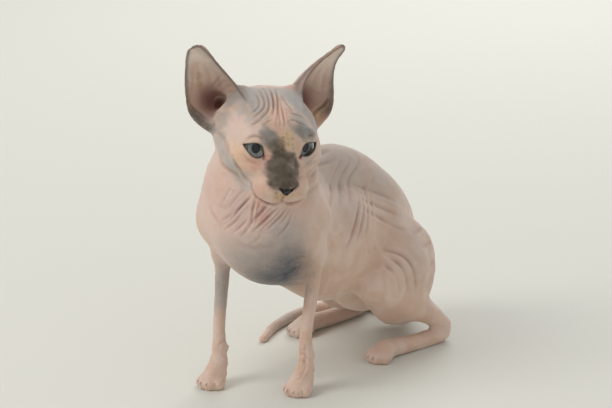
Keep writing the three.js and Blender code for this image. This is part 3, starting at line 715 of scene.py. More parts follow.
# Folds of the skin: grooves along curves that lie on it, with a soft ridge on both sides
def laid_on(solid, points):
    """Points dropped onto the solid's surface."""
    p = np.array(points, float)
    for _ in range(12):
        slope = slope_of(solid, p, 0.3)
        d = solid.distance(p, 30.0)[:, None]
        p = p - slope * d * 0.9 / np.maximum((slope**2).sum(1), 0.3)[:, None]
    return p


class Fold:
    def __init__(self, points, width, depth):
        rows = curve(points, 8)
        run = np.concatenate([[0], np.cumsum(np.linalg.norm(np.diff(rows, axis=0), axis=1))])
        count = max(int(run[-1] / (0.35 * width)), 4)
        even = np.linspace(0, run[-1], count)
        self.rows = np.stack([np.interp(even, run, rows[:, k]) for k in range(3)], 1)
        self.strength = np.sin(np.pi * np.linspace(0.04, 0.96, count)) ** 0.6
        self.width, self.depth = width, depth

    def groove(self, p):
        """Which points lie near the groove, and the depth at each, below 0 on the ridges."""
        reach = 3.4 * self.width
        low, high = self.rows.min(0) - reach, self.rows.max(0) + reach
        near = np.flatnonzero(np.all((p > low) & (p < high), axis=1))
        depth = np.empty(len(near))
        for start in range(0, len(near), 40000):
            part = slice(start, start + 40000)
            away = ((p[near[part], None] - self.rows[None]) ** 2).sum(2)
            best = away.argmin(1)
            r = np.sqrt(away[np.arange(len(best)), best]) / self.width
            shape = np.exp(-r * r) - 0.5 * np.exp(-(((r - 1.9) / 0.8) ** 2))
            depth[part] = self.depth * self.strength[best] * shape
        return near, depth


# Folds that the photograph shows, each as pixels along it, its width and its depth
FOREHEAD_FOLDS = (
    (((254, 92), (258.6, 99), (259, 106), (254.6, 111.5), (248.5, 116)), 0.78, 0.52),
    (((258.6, 90), (263.6, 97.7), (264.7, 106), (260.2, 112.4), (253, 118)), 0.86, 0.71),
    (((263.6, 88.5), (268, 97.7), (269, 108), (265.3, 114.6), (257.5, 121.3), (253, 124.7)), 0.86, 0.76),
    (((268.7, 87.8), (272.3, 96.6), (273.4, 107.8), (272.6, 114.6)), 0.86, 0.76),
    (((271, 88.7), (273.9, 100), (274.2, 108), (273.4, 115)), 0.7, 0.47),
    (((275.5, 90), (277.6, 99), (278.2, 108), (279.3, 117), (280.5, 124.7)), 0.86, 0.81),
    (((280, 99), (281.6, 108), (283.8, 117), (285, 125.8)), 0.78, 0.66),
    (((276.5, 108), (277.1, 117), (276.6, 125)), 0.7, 0.47),
    (((281.6, 96.6), (286.6, 103.3), (290.5, 109), (293.4, 113.4)), 0.78, 0.62),
    (((284.4, 102.2), (289.4, 107.8), (293.4, 111.2)), 0.7, 0.57),
    (((287.2, 109), (292.2, 113.4), (299, 115.7), (304, 119)), 0.78, 0.57),
    (((264.2, 124.7), (268.7, 121.3), (272, 120.2)), 0.7, 0.52),
    (((289.4, 121.3), (293.4, 120.2), (300, 123.5), (305.7, 125.8)), 0.78, 0.57),
    (((246.2, 128), (252, 124.5), (260, 121), (266, 117.5)), 0.78, 0.33),
)
UPPER_LID_FOLD = ((((247.3, 139.3), (251.8, 136.9), (258.6, 136.9), (263, 140.4)), 1.0, 0.7),)
CHEEK_FOLDS = (
    (((242.9, 153.8), (249.6, 160.6), (258.6, 165)), 1.3, 0.45),
    (((232.5, 155), (237.5, 166), (244.7, 176.5), (252, 184.5)), 1.2, 0.8),
    (((251, 183), (252.8, 190.5), (257.5, 197.5), (264, 201)), 1.0, 0.7),
    (((219, 152), (221.6, 162.4), (229, 169.7), (237.4, 175), (245.5, 184.5)), 1.7, 0.7),
    (((214.5, 129), (222, 136), (227, 146), (230, 156)), 2.0, 0.5),
)
NECK_FOLDS = (
    (((252.1, 195), (244.7, 203.4), (237.4, 210.8), (231, 218.2)), 1, 0.72),
    (((255.8, 198.2), (253.2, 208.7), (252.1, 218.2), (250, 227.6)), 0.94, 0.81),
    (((267.9, 204), (262.6, 210.8), (257.4, 216), (253.2, 222.4)), 1.2, 1.0),
    (((277.4, 207.6), (270, 215), (260.5, 224.5), (253.2, 231.3)), 1, 0.9),
    (((285.8, 208.7), (281.6, 215), (274.2, 222.4), (267.9, 228.7)), 0.94, 0.72),
    (((240.5, 216), (233.2, 223.4), (224.7, 229.7)), 0.94, 0.63),
    (((246.8, 220.3), (240.5, 226.6), (232.1, 232.9)), 0.94, 0.63),
    (((235.3, 208.7), (229, 216), (221.6, 221.3)), 0.94, 0.5),
    (((248.5, 199), (241, 207), (235, 215)), 0.68, 0.41),
    (((261, 201), (258, 209), (254.6, 218)), 0.68, 0.45),
    (((273, 206), (266, 213.5), (258, 221), (253, 227)), 0.68, 0.54),
    (((281.6, 208.5), (276, 215.5), (267, 224), (260, 231)), 0.68, 0.5),
    (((290, 209), (286, 216), (280, 223)), 0.68, 0.45),
    (((243.5, 218), (237, 225), (228.5, 231.5)), 0.68, 0.36),
    (((238, 212.5), (231, 219.5), (223, 225.5)), 0.68, 0.32),
    (((250, 224), (246, 231), (240, 237)), 1.0, 0.5),
    (((243.5, 190.5), (236, 198), (230, 206)), 1, 0.41),
    (((232, 186), (226, 196), (221, 207)), 1, 0.27),
    (((209, 205), (214, 216), (222, 226)), 2.0, 0.35),
    (((292, 213), (289, 222), (283, 231), (276, 237)), 1, 0.45),
    (((233, 240), (246, 246), (262, 247), (278, 243)), 2.2, 0.3),
    (((262, 234), (257, 240), (250, 244)), 1, 0.32),
)

# Folds beyond the photograph, on the left and mirrored: points, width, depth, how many, step to the next
BODY_MIDDLE = (5, 0, 0)
BODY_FOLDS = (
    (((34, -22, 92), (33, -8, 108), (27, 8, 122)), 1.8, 0.9, 4, (-1, 10, 2)),
    (((36, -30, 128), (30, -14, 138), (18, 2, 146)), 1.8, 0.7, 3, (-2, 12, -2)),
    (((40, 20, 84), (42, 34, 70), (43, 42, 52)), 2.0, 0.9, 3, (0, -9, 0)),
    (((30, 8, 112), (34, 26, 104), (36, 46, 90)), 1.8, 0.6, 3, (-3, 3, 10)),
    (((22, 84, 78), (34, 70, 84), (40, 52, 86)), 2.0, 0.6, 3, (0, 3, -13)),
    (((14, -46, 152), (13, -26, 150), (10, -4, 146)), 1.6, 0.6, 2, (-8, 2, 2)),
)
# Rings round the neck: height, first and last angle, width and depth
NECK_RING_CENTRE, NECK_RING_RADIUS = (-12, -70), 36
NECK_RINGS = (
    (146, 150, 400, 1.9, 0.8),
    (153, 160, 395, 1.7, 0.9),
    (160, 165, 390, 1.6, 0.7),
    (138, 170, 370, 2.0, 0.6),
)
# Rings round the legs: width, depth, heights, first angle and sweep
LEG_RING_RADIUS = 8
LEG_RINGS = {
    "elbow": (1.4, 0.5, (96, 90, 84), 355, 100),
    "wrist": (0.9, 0.45, (32, 28.5, 25, 20), 200, 210),
}
TAIL_RING = (0.9, 0.3)
MOUTH_LINE = ((0.0, 36.5, -26.5), (4.5, 35.5, -29.0), (9.5, 31, -29.6), (13.5, 25, -28.0))
PHILTRUM = ((41, -18.5), (39, -22), (36.5, -26.5))

# Ribs in the ears' scoops: height and place across (-1 inner rim, 1 outer rim) of each curve's points
EAR_RIBS = (
    (((0.30, 0.05), (0.48, -0.1), (0.70, -0.05)), 1.6, 0.35),
    (((0.30, 0.42), (0.50, 0.35), (0.74, 0.32)), 1.6, 0.35),
    (((0.26, -0.32), (0.40, -0.45), (0.56, -0.5)), 1.4, 0.35),
    (((0.40, 0.7), (0.55, 0.66), (0.72, 0.6)), 1.4, 0.3),
    (((0.0, 0.80), (0.10, 0.78), (0.20, 0.82), (0.30, 0.88)), 1.2, 0.8),
    (((0.12, -0.25), (0.17, -0.5), (0.19, -0.8)), 1.1, 0.3),
    (((0.18, -0.2), (0.24, -0.5), (0.27, -0.8)), 1.1, 0.25),
    (((0.24, -0.15), (0.31, -0.45), (0.35, -0.75)), 1.1, 0.2),
    (((0.30, -0.05), (0.38, -0.4), (0.43, -0.7)), 1.0, 0.3),
)


def ear_line(side, rows):
    """Points of an ear's scoop at heights and places across it."""
    points = []
    for u, across in rows:
        ia, ib, oa, ob, depth = (np.interp(u, ear_rows[:, 0], ear_rows[:, k]) for k in range(1, 6))
        wide = np.array([oa - ia, ob - ib]) / 2
        sink = depth * (1 - across * across) / np.linalg.norm(wide)
        x, y = np.array([oa + ia, ob + ib]) / 2 + across * wide + sink * np.array([wide[1], -wide[0]])
        points.append(ear_frame(side).at(x, y, u * EAR_LENGTH))
    return points


def ring_guide(centre, radius, start, end, drop=0.0):
    turn = np.radians(np.linspace(start, end, 9))
    flat = np.stack([np.cos(turn), np.sin(turn), drop * np.sin(turn)], 1)
    return np.array(centre, float) + radius * flat


def other_side(p):
    """Places on the head, carried over to its other side."""
    return head_frame.origin + (head_frame.local(p) * np.array([-1, 1, 1])) @ head_frame.axes.T


def skin_folds():
    shown = FOREHEAD_FOLDS + NECK_FOLDS + CHEEK_FOLDS + UPPER_LID_FOLD
    seen = all_at_once(lambda c: seen_at(body, c), [f[0] for f in shown])
    folds = [Fold(line, *f[1:]) for line, f in zip(seen, shown)]
    both_sided = len(CHEEK_FOLDS + UPPER_LID_FOLD)
    guides = [(other_side(line), *f[1:]) for line, f in zip(seen[-both_sided:], shown[-both_sided:])]
    for rows, width, depth, copies, step in BODY_FOLDS:
        for side in (1, -1):
            for k in range(copies):
                places = (np.array(rows) + k * np.array(step)) * (side, 1, 1) - BODY_MIDDLE
                guides.append((places, width, depth * (1 - 0.12 * k)))
    for height, start, end, width, depth in NECK_RINGS:
        middle = (*NECK_RING_CENTRE, height)
        ring = ring_guide(middle, NECK_RING_RADIUS, start - 180, end - 180, 0.15)
        guides.append((ring, width, depth))
    for side, wrist, elbow, _ in FORELEGS.values():
        for (x, y), name in ((elbow, "elbow"), (wrist, "wrist")):
            width, depth, heights, start, sweep = LEG_RINGS[name]
            for k, height in enumerate(heights):
                turn = np.array([start, start + sweep]) + (25 * k if name == "wrist" else 0)
                first, last = turn if side > 0 else 180 - turn
                middle = (x + CHEST_AT[0], y + CHEST_AT[1], height)
                ring = ring_guide(middle, LEG_RING_RADIUS, first, last, 0.3)
                guides.append((ring, width, depth))
    guides.append(([head_frame.at(0, y, z) for y, z in PHILTRUM], 0.8, 0.9))
    for side in (1, -1):
        guides.append(([head_frame.at(side * x, y, z) for x, y, z in MOUTH_LINE], 1.0, 1.1))
        guides += [(ear_line(side, rows), width, depth) for rows, width, depth in EAR_RIBS]
    laid = all_at_once(lambda p: laid_on(body, p), [g[0] for g in guides])
    folds += [Fold(line, *g[1:]) for line, g in zip(laid, guides)]
    tail = curve(TAIL, 7)
    for k in range(4, len(tail) - 4, 1):
        run = unit(tail[k + 1][:3] - tail[k - 1][:3])
        side = unit(np.cross(run, (0.3, 0.2, 1)))
        rise = np.cross(side, run)
        turn = np.radians(np.linspace(-60 + 25 * (k % 3), 150 + 30 * (k % 2), 7))[:, None]
        ring = tail[k][:3] + (np.cos(turn) * side + np.sin(turn) * rise) * tail[k][3]
        folds.append(Fold(ring, *TAIL_RING))
    return folds


# Markings: soft spots at pixels of the photograph, each with a radius in millimetres and a strength
# Grey skin on the crown, the temples and round the ears. The spots down the side of the jaw are partly grey
# skin and partly painted shade.
GREY_AND_JAW_SHADE = (
    (246, 94, 8, 0.7), (258, 93, 9, 0.8), (272, 91, 8, 0.6), (290, 95, 9, 0.9), (299, 104, 9, 0.9),
    (306, 113, 8, 0.9), (313, 122, 7, 0.9), (312, 132, 6, 0.8), (249, 106, 8, 0.55), (257, 116, 7, 0.5),
    (262, 104, 7, 0.65), (301, 120, 7, 0.6), (221, 149, 6, 0.75), (227, 160, 6, 0.8),
    (234, 168, 5, 0.75), (241, 177, 5, 0.7), (248, 186, 4, 0.6), (218, 138, 6, 0.75),
    (213, 128, 5, 0.6), (193, 117, 6, 0.7), (199, 123, 6, 0.7), (203, 118, 5, 0.6), (230, 98, 7, 0.6),
    (240, 104, 6, 0.4), (222, 118, 6, 0.35), (207, 128, 4, 0.5), (303, 128, 5, 0.6), (309, 160, 5, 0.5),
)
BRIDGE_GREY = (
    (275, 147, 5, 0.6), (279, 152, 5, 0.75), (276, 160, 4.6, 1.0), (283, 158, 6, 1.0),
    (291, 160, 4.6, 0.9), (275, 169, 4.6, 1.0), (284, 170, 7, 1.0), (292, 172, 4.8, 1.0),
    (278, 180, 5, 1.0), (287, 180, 6, 1.0), (294, 181, 3.6, 1.0), (275, 186, 3.4, 0.8),
    (282, 186, 4, 0.9), (295.5, 163, 4, 0.9), (296, 172, 4.2, 0.95), (295, 181, 4, 0.95),
    (272, 178, 3.6, 0.85), (271, 173, 4, 0.85), (280, 143, 4, 0.35), (271.5, 165, 4, 0.85),
    (288, 186, 3, 0.95), (194, 113, 4.4, 0.4), (199, 120, 5, 0.6), (205, 126, 4.4, 0.5),
    (210, 131, 4, 0.35),
)
BROW_GREY = (
    (266, 133, 5, 0.75), (272, 138, 5.2, 0.85), (264, 140, 3.6, 0.45), (297, 130, 4.6, 0.6),
    (303, 131, 5.4, 0.75), (310, 134, 4.4, 0.6), (279, 143, 4, 0.5), (231, 99, 7, 0.5),
    (222, 118, 6, 0.4), (279, 197, 3, 0.35), (273, 144, 4, 0.5),
)
WARM = (
    (240, 158, 7, 0.8), (236, 150, 6, 0.5), (246, 165, 5, 0.5), (281, 115, 6, 0.45), (262, 187, 6, 0.3),
    (292, 120, 5, 0.3),
)
OCHRE = (
    (288, 142, 5.4, 0.95), (284, 135, 4, 0.7), (290, 133, 3.5, 0.5), (293, 150, 3, 0.5),
    (281, 148, 3, 0.3), (279.5, 197.5, 4.4, 0.95), (292, 195, 3.4, 0.55), (193, 68, 3.4, 0.45),
    (196, 76, 3.4, 0.5), (200, 85, 4, 0.5), (187, 98, 5, 0.7), (191, 110, 5, 0.4), (316, 115, 6, 0.8),
    (240, 150, 7, 0.25),
)
FLUSH = (
    (281, 112, 5, 0.25), (283, 122, 5, 0.3), (280, 131, 4, 0.35), (277, 102, 4, 0.3), (292, 88, 6, 0.5),
    (268, 158, 2.6, 0.9), (301, 157, 2.4, 0.7), (255, 163, 4.5, 0.5), (246, 158, 5, 0.15),
    (263, 166, 4, 0.4), (259, 190, 5, 0.35), (299, 192, 4, 0.3), (236, 216, 16, 0.2),
    (212, 190, 13, 0.3), (262, 217, 5, 0.6), (259, 205, 4, 0.5),
)
CREAM = (
    (240, 131, 8, 0.45), (232, 126, 8, 0.4), (228, 118, 8, 0.4), (250, 129, 6, 0.35),
    (208, 185, 22, 0.6), (225, 215, 24, 0.7), (250, 235, 24, 0.7), (210, 225, 18, 0.6),
    (270, 215, 16, 0.5), (238, 262, 22, 0.4), (224, 290, 20, 0.4),
)
# Painted shade: dark bluish spots where the lower chest lies in shadow.
UNDER_CHEST_SHADE = ((287, 275, 15, 0.9), (276, 286, 16, 0.85), (291, 258, 10, 0.45), (262, 279, 13, 0.45))
# Grey skin with painted shade: these spots darken the lower chest, the neck's middle and the far foreleg
# where they lie in shade.
CHEST_GREY_AND_SHADE = (
    (248, 264, 18, 0.45), (270, 258, 18, 0.5), (288, 246, 14, 0.5), (230, 254, 14, 0.3),
    (289, 228, 10, 0.4), (262, 280, 16, 0.5), (235, 207, 10, 0.25), (224, 262, 8, 0.5),
    (223, 275, 9, 0.7), (221, 288, 9, 0.7), (219, 300, 9, 0.6),
)

MARKINGS = {
    "grey": GREY_AND_JAW_SHADE,
    "chest": CHEST_GREY_AND_SHADE,
    "warm": WARM,
    "brow": BROW_GREY,
    "bridge": BRIDGE_GREY,
    "ochre": OCHRE,
    "flush": FLUSH,
    "cream": CREAM,
    "slate": UNDER_CHEST_SHADE,
}
SOFT_MARKINGS = ("chest", "cream", "slate")

# Grey patches on the parts that the photograph doesn't show, in the model's own millimetres
BACK_GREY = (
    (-8, -30, 150, 30, 0.55), (-6, 10, 142, 24, 0.6), (-4, 50, 118, 30, 0.5), (0, 86, 60, 24, 0.5),
    (30, 50, 70, 18, 0.35), (-38, 50, 66, 20, 0.45), (26, -8, 118, 14, 0.3), (-40, -40, 110, 18, 0.4),
    (0, 101, 25, 16, 0.5), (-38, 106, 5, 22, 0.6), (-69, 40, 4, 24, 0.7), (-10, -50, 160, 20, 0.4),
)


def wobble(p, size, seed):
    """Smooth uneven values from -1 to 1 that change over about size."""
    chance = np.random.RandomState(seed)
    out = np.zeros(len(p))
    for _ in range(7):
        way = chance.normal(size=3)
        way *= (0.7 + 0.8 * chance.rand()) * 2 * np.pi / (size * np.linalg.norm(way))
        out += np.sin(p @ way + chance.rand() * 6.3)
    return out / 3.5


def spread(p, spots, places, seed, unevenness=0.22, edge=4.0):
    """A mask from spots at places; a higher edge makes their edges crisper."""
    out = np.zeros(len(p))
    uneven = 1 + unevenness * wobble(p, 9.0, seed) + 0.5 * unevenness * wobble(p, 3.2, seed + 1)
    for (*_, radius, strength), place in zip(spots, places):
        near = np.flatnonzero(np.all(np.abs(p - place) < radius * 2.6, axis=1))
        r = np.linalg.norm(p[near] - place, axis=1) / radius * uneven[near]
        out[near] = 1 - (1 - out[near]) * (1 - strength * np.exp(-(r**edge) * 0.8))
    return out


def step_between(x, low, high):
    t = np.clip((x - low) / (high - low), 0, 1)
    return t * t * (3 - 2 * t)


# How far out an ear's tones reach, and centre and half sizes of its red bowl and its darkest part: red skin
# darkened with painted shade, nearly black down the canal
EAR_REACH = (32, 30)
EAR_DARK = (
    ((12.3, -16.5, 6.5), (9.5, 9, 10.5)),
    ((10.5, -18, 2.5), (5.5, 7, 5.5)),
)


def skin_marks(p, crease):
    """Masks from 0 to 1 for each tone of the skin, painted shade among them."""
    marks = {}
    pixels = [[s[:2] for s in spots] for spots in MARKINGS.values()]
    places = all_at_once(lambda c: seen_at(body, c), pixels)
    for seed, (name, spots) in enumerate(MARKINGS.items()):
        soft = (0.07, 2.4) if name in SOFT_MARKINGS else ()
        marks[name] = spread(p, spots, places[seed], 11 + seed, *soft)
    back = spread(p, BACK_GREY, [np.array(s[:3]) for s in BACK_GREY], 31, 0.12, 2.4)
    marks["grey"] = np.maximum(marks["grey"], back)

    h = head_frame.local(p)
    leather_half = 1.2 + 4.6 * np.clip((h[:, 2] + 20.5) / 5.5, 0, 1) ** 0.9
    marks["leather"] = step_between(leather_half - np.abs(h[:, 0] - 0.5), -0.5, 0.5)
    marks["leather"] *= step_between(h[:, 1], 35.0, 36.0)
    marks["leather"] *= step_between(-14.0 - h[:, 2], -0.8, 0.4)
    marks["leather"] *= step_between(h[:, 2], -21.5, -20.5)

    rim = np.zeros(len(p))
    inside = np.zeros(len(p))
    hollow = np.zeros(len(p))
    height = np.zeros(len(p))
    for side in (-1, 1):
        eye = eye_frame(side).local(p)
        near = np.flatnonzero((np.linalg.norm(eye, axis=1) < 15) & (eye[:, 1] > 1))
        q = eye[near]
        edge = lid_edge(q, side)
        rim[near] = np.maximum(rim[near], np.exp(-((np.maximum(edge - 0.1, 0) / 0.5) ** 2)) * 0.95)
        duct = np.exp(-(((q[:, 0] + 8.2) ** 2 + (q[:, 2] + 1.9) ** 2) / 2.2))
        marks["flush"][near] = np.maximum(marks["flush"][near], duct)
        rim[near] *= 1 - 0.85 * duct
        place = ear_frame(side)
        q = place.local(p)
        beside = np.all(np.abs(q[:, :2]) < EAR_REACH, axis=1)
        near = np.flatnonzero(beside & (q[:, 2] > -7) & (q[:, 2] < EAR_LENGTH + 4))
        q = q[near]
        u, across, half, off, _ = ear_scoop(q)
        here = (np.abs(off) < 2.6) & ((np.abs(across) < 1.25) | (u > 0.93))
        edge = np.minimum((1 - np.abs(across)) * half, (1 - u) * EAR_LENGTH + 1)
        above_root = step_between(q[:, 2], 1, 9)
        line = np.maximum(np.exp(-((edge / 1.5) ** 2)), step_between(u, 0.96, 0.99)) * above_root
        band = np.where(across < 0, 0.3, 0.08) * np.exp(-((edge / 4.5) ** 2)) * above_root
        rim[near] = np.maximum(rim[near], np.where(here, np.maximum(0.75 * line, band), 0))
        face = step_between(off, -0.4, 0.5) * (1 - step_between(off, 4, 13)) * step_between(q[:, 2], -7, 6)
        inside[near] = np.maximum(inside[near], face * step_between(1.12 - np.abs(across), 0, 0.12))
        # The bowl and the canal: painted shade over red skin.
        bowl, deep = (np.linalg.norm((q - np.array(at)) / size, axis=1) for at, size in EAR_DARK)
        bowl = np.exp(-(bowl**3)) * 0.86 * step_between(off, -0.6, 0.2)
        dark = np.maximum(bowl, 0.98 * np.exp(-(deep**4)))
        hollow[near] = np.maximum(hollow[near], dark)
        height[near] = np.maximum(height[near], u * (face > 0))
    marks["rim"] = np.clip(rim, 0, 1)
    marks["shell"] = np.clip(inside, 0, 1)
    marks["hollow"] = np.clip(hollow, 0, 1)
    marks["ear_height"] = np.clip(height, 0, 1)
    marks["crease"] = crease
    return marks


# Colours. The skin's tones are laid one over the other in the order of SKIN_TONES, each at its fullness.
PEACH = (0.62, 0.435, 0.33)
PALE_PEACH = (0.68, 0.52, 0.43)
DARK_DOTS = (0.10, 0.075, 0.05)
SHELL_LOW = (0.52, 0.32, 0.23)
# Pale skin and painted light: the inside of the ear lightens towards its tip, as if lit through.
SHELL_TIP_AND_GLOW = (0.84, 0.86, 0.78)
SHELL_FLUSH = (0.50, 0.30, 0.23)
# Red skin of the ear's bowl with painted shade, darkest down the canal.
EAR_BOWL_RED_AND_SHADE = (0.105, 0.022, 0.016)
DARK_RIM = (0.055, 0.042, 0.034)
NOSE_LEATHER = (0.008, 0.009, 0.009)
# Painted shade in the creases of the folds, with the skin a little redder there.
CREASE_SHADE_RED = (0.50, 0.34, 0.30)
SKIN_TONES = (
    ("cream", (0.71, 0.54, 0.46), 0.9),
    ("warm", (0.80, 0.555, 0.40), 0.9),
    ("flush", (0.56, 0.29, 0.23), 0.9),
    # Grey skin, with painted shade as well along the jaw's side.
    ("grey", (0.42, 0.40, 0.375), 0.95),
    # Grey skin with painted shade on the chest, the neck and the far foreleg.
    ("chest", (0.30, 0.29, 0.28), 0.9),
    ("brow", (0.215, 0.205, 0.185), 0.95),
    # Painted shade on the lower chest, dark and bluish.
    ("slate", (0.028, 0.052, 0.078), 1.0),
    ("ochre", (0.62, 0.44, 0.265), 0.9),
    ("bridge", (0.085, 0.066, 0.043), 1.0),
)
SKIN_PLAIN = (0.6, 0.45, 0.38)
SKIN_SHINE = {
    "Subsurface_Weight": 0.5,
    "Subsurface_Radius": (1.0, 0.55, 0.38),
    "Subsurface_Scale": 0.0028,
    "Specular_IOR_Level": 0.32,
    "Sheen_Weight": 0.22,
    "Sheen_Roughness": 0.4,
    "Sheen_Tint": (1.0, 0.95, 0.9, 1),
}
IRIS_DEEP = (0.27, 0.29, 0.275)
IRIS_PALE = (0.57, 0.61, 0.60)
IRIS_WARM = (0.26, 0.27, 0.21)
IRIS_EDGE = (0.035, 0.035, 0.032)
EYE_PLAIN = (0.5, 0.45, 0.4)
# Painted shade: the white of the eye darkened as it lies under the lids.
EYE_WHITE_IN_SHADE = (0.17, 0.15, 0.135)
EYE_PINK = (0.16, 0.09, 0.08)
LID_SHADE = (0.10, 0.11, 0.12)
PUPIL_BLACK = (0.004, 0.004, 0.004)
CORNEA_CLEAR = (0.98, 0.99, 0.99)
CORNEA_SHINE = {"Transmission_Weight": 1.0, "IOR": 1.12, "Coat_Weight": 0.4, "Coat_Roughness": 0.02}
HORN_PLAIN = (0.62, 0.52, 0.43)
HORN_PALE = (0.66, 0.55, 0.45)
HORN_DARK = (0.50, 0.36, 0.28)
HORN_SHINE = {"Subsurface_Weight": 0.3, "Subsurface_Scale": 0.0012}


# Materials
def new_group(name, inputs, outputs):
    tree = bpy.data.node_groups.new(name, "ShaderNodeTree")
    for label, value in inputs.items():
        socket = tree.interface.new_socket(label, in_out="INPUT", socket_type="NodeSocketFloat")
        socket.default_value = value
    for label in outputs:
        tree.interface.new_socket(label, in_out="OUTPUT", socket_type="NodeSocketFloat")
    return tree


class Nodes:
    """Short ways to add nodes to a tree. A value that is a socket is linked, another is set."""

    def __init__(self, tree):
        self.tree = tree

    def put(self, socket, value):
        if isinstance(value, bpy.types.NodeSocket):
            self.tree.links.new(value, socket)
        else:
            socket.default_value = value

    def add(self, kind, values=(), **settings):
        node = self.tree.nodes.new("ShaderNode" + kind)
        for name, setting in settings.items():
            setattr(node, name, setting)
        for name, value in dict(values).items():
            self.put(node.inputs[name], value)
        return node

    def math(self, operation, a, b=0.0, clamp=False):
        return self.add("Math", {0: a, 1: b}, operation=operation, use_clamp=clamp).outputs[0]

    def noise(self, place, scale, detail=3.0, distortion=0.0):
        values = {"Vector": place, "Scale": scale, "Detail": detail, "Distortion": distortion}
        return self.add("TexNoise", values).outputs["Fac"]

    def mask(self, name):
        return self.add("Attribute", attribute_name=name).outputs["Fac"]

    def place(self):
        return self.add("TexCoord").outputs["Object"]

    def stretched(self, place, scale, turn=(0, 0, 0)):
        values = {"Vector": place, "Scale": scale, "Rotation": turn}
        return self.add("Mapping", values).outputs["Vector"]

    def mix(self, factor, a, b, blend_type="MIX"):
        node = self.add("Mix", data_type="RGBA", blend_type=blend_type)
        self.put(node.inputs[0], factor)
        for socket, value in ((node.inputs[6], a), (node.inputs[7], b)):
            self.put(socket, value if isinstance(value, bpy.types.NodeSocket) else (*value, 1))
        return node.outputs[2]

    def between(self, value, low, high, to_low=0.0, to_high=1.0):
        values = {0: value, 1: low, 2: high, 3: to_low, 4: to_high}
        return self.add("MapRange", values, interpolation_type="SMOOTHSTEP").outputs[0]


def skin_grain_group():
    """Fine skin: pebbly grain, hair-thin wrinkles across it and soft lumps, as a height and a mottle."""
    tree = new_group("skin_grain", {"Grain": 1.0, "Wrinkles": 1.0, "Lumps": 1.0}, ("Height", "Mottle"))
    n = Nodes(tree)
    given = tree.nodes.new("NodeGroupInput")
    out = tree.nodes.new("NodeGroupOutput")
    place = n.place()
    pebbles = n.add("TexVoronoi", {"Vector": place, "Scale": 1150.0}, feature="SMOOTH_F1")
    lines = n.noise(n.stretched(place, (900, 260, 420), (0.3, 0.5, 0.9)), 1.0, 4.0, 0.6)
    crossing = n.noise(n.stretched(place, (240, 820, 380), (0.8, 0.2, 0.1)), 1.0, 4.0, 0.6)
    lumps = n.noise(place, 130.0, 3.0)
    height = n.math("MULTIPLY", pebbles.outputs["Distance"], given.outputs["Grain"])
    thin = n.math("MULTIPLY", n.math("ADD", lines, crossing), 1.1)
    thin = n.math("MULTIPLY", thin, given.outputs["Wrinkles"])
    broad = n.math("MULTIPLY", n.math("MULTIPLY", lumps, 1.6), given.outputs["Lumps"])
    n.put(out.inputs["Height"], n.math("ADD", n.math("ADD", height, thin), broad))
    mottle = n.math("ADD", n.math("MULTIPLY", lumps, 0.6), n.math("MULTIPLY", lines, 0.4))
    n.put(out.inputs["Mottle"], mottle)
    return tree


skin_grain = skin_grain_group()


def skin_material():
    material = plain_material("bare_skin", SKIN_PLAIN, 0.52, **SKIN_SHINE)
    n = Nodes(material.node_tree)
    shader = material.node_tree.nodes["Principled BSDF"]
    grain = n.add("Group", node_tree=skin_grain)
    grain.inputs["Grain"].default_value = 0.45
    mottle = grain.outputs["Mottle"]
    place = n.place()
    freckle = n.noise(place, 620.0, 2.0)
    cloud = n.noise(place, 170.0, 4.0)
    patches = n.noise(place, 48.0, 3.0, 0.8)
    colour = n.mix(n.between(patches, 0.35, 0.65), PEACH, PALE_PEACH)
    # The ear's inside lightens up to its tip: painted light shining through the thin ear, over its skin
    # colour.
    shell = n.mix(n.mask("ear_height"), SHELL_LOW, SHELL_TIP_AND_GLOW)
    shell = n.mix(n.between(patches, 0.3, 0.7, 0.0, 0.5), shell, SHELL_FLUSH)
    colour = n.mix(n.math("MULTIPLY", n.mask("shell"), 0.9), colour, shell)
    for name, tone, full in SKIN_TONES:
        fullness = n.between(cloud, 0.3, 0.7, full * 0.88, full * 1.06)
        factor = n.math("MULTIPLY", n.mask(name), fullness, True)
        colour = n.mix(factor, colour, tone)
    dotted = n.math("ADD", n.mask("bridge"), n.mask("ochre"))
    dots = n.math("MULTIPLY", n.between(freckle, 0.52, 0.68), dotted)
    colour = n.mix(n.math("MULTIPLY", dots, 0.45, True), colour, DARK_DOTS)
    # The ear's bowl: red skin with painted shade.
    colour = n.mix(n.mask("hollow"), colour, EAR_BOWL_RED_AND_SHADE)
    colour = n.mix(n.mask("rim"), colour, DARK_RIM)
    colour = n.mix(n.mask("leather"), colour, NOSE_LEATHER)
    # Painted shade in the creases, darker and a little redder the deeper the fold sinks.
    colour = n.mix(n.math("MULTIPLY", n.mask("crease"), 0.75, True), colour, CREASE_SHADE_RED, "MULTIPLY")
    n.put(shader.inputs["Base Color"], colour)
    dull = n.between(mottle, 0.3, 0.7, 0.5, 0.66)
    n.put(shader.inputs["Roughness"], n.math("ADD", dull, n.math("MULTIPLY", n.mask("leather"), 0.1)))
    bump = n.add("Bump", {"Height": grain.outputs["Height"], "Distance": 0.00022})
    bump.inputs["Strength"].default_value = 0.9
    n.put(shader.inputs["Normal"], bump.outputs[0])
    return material


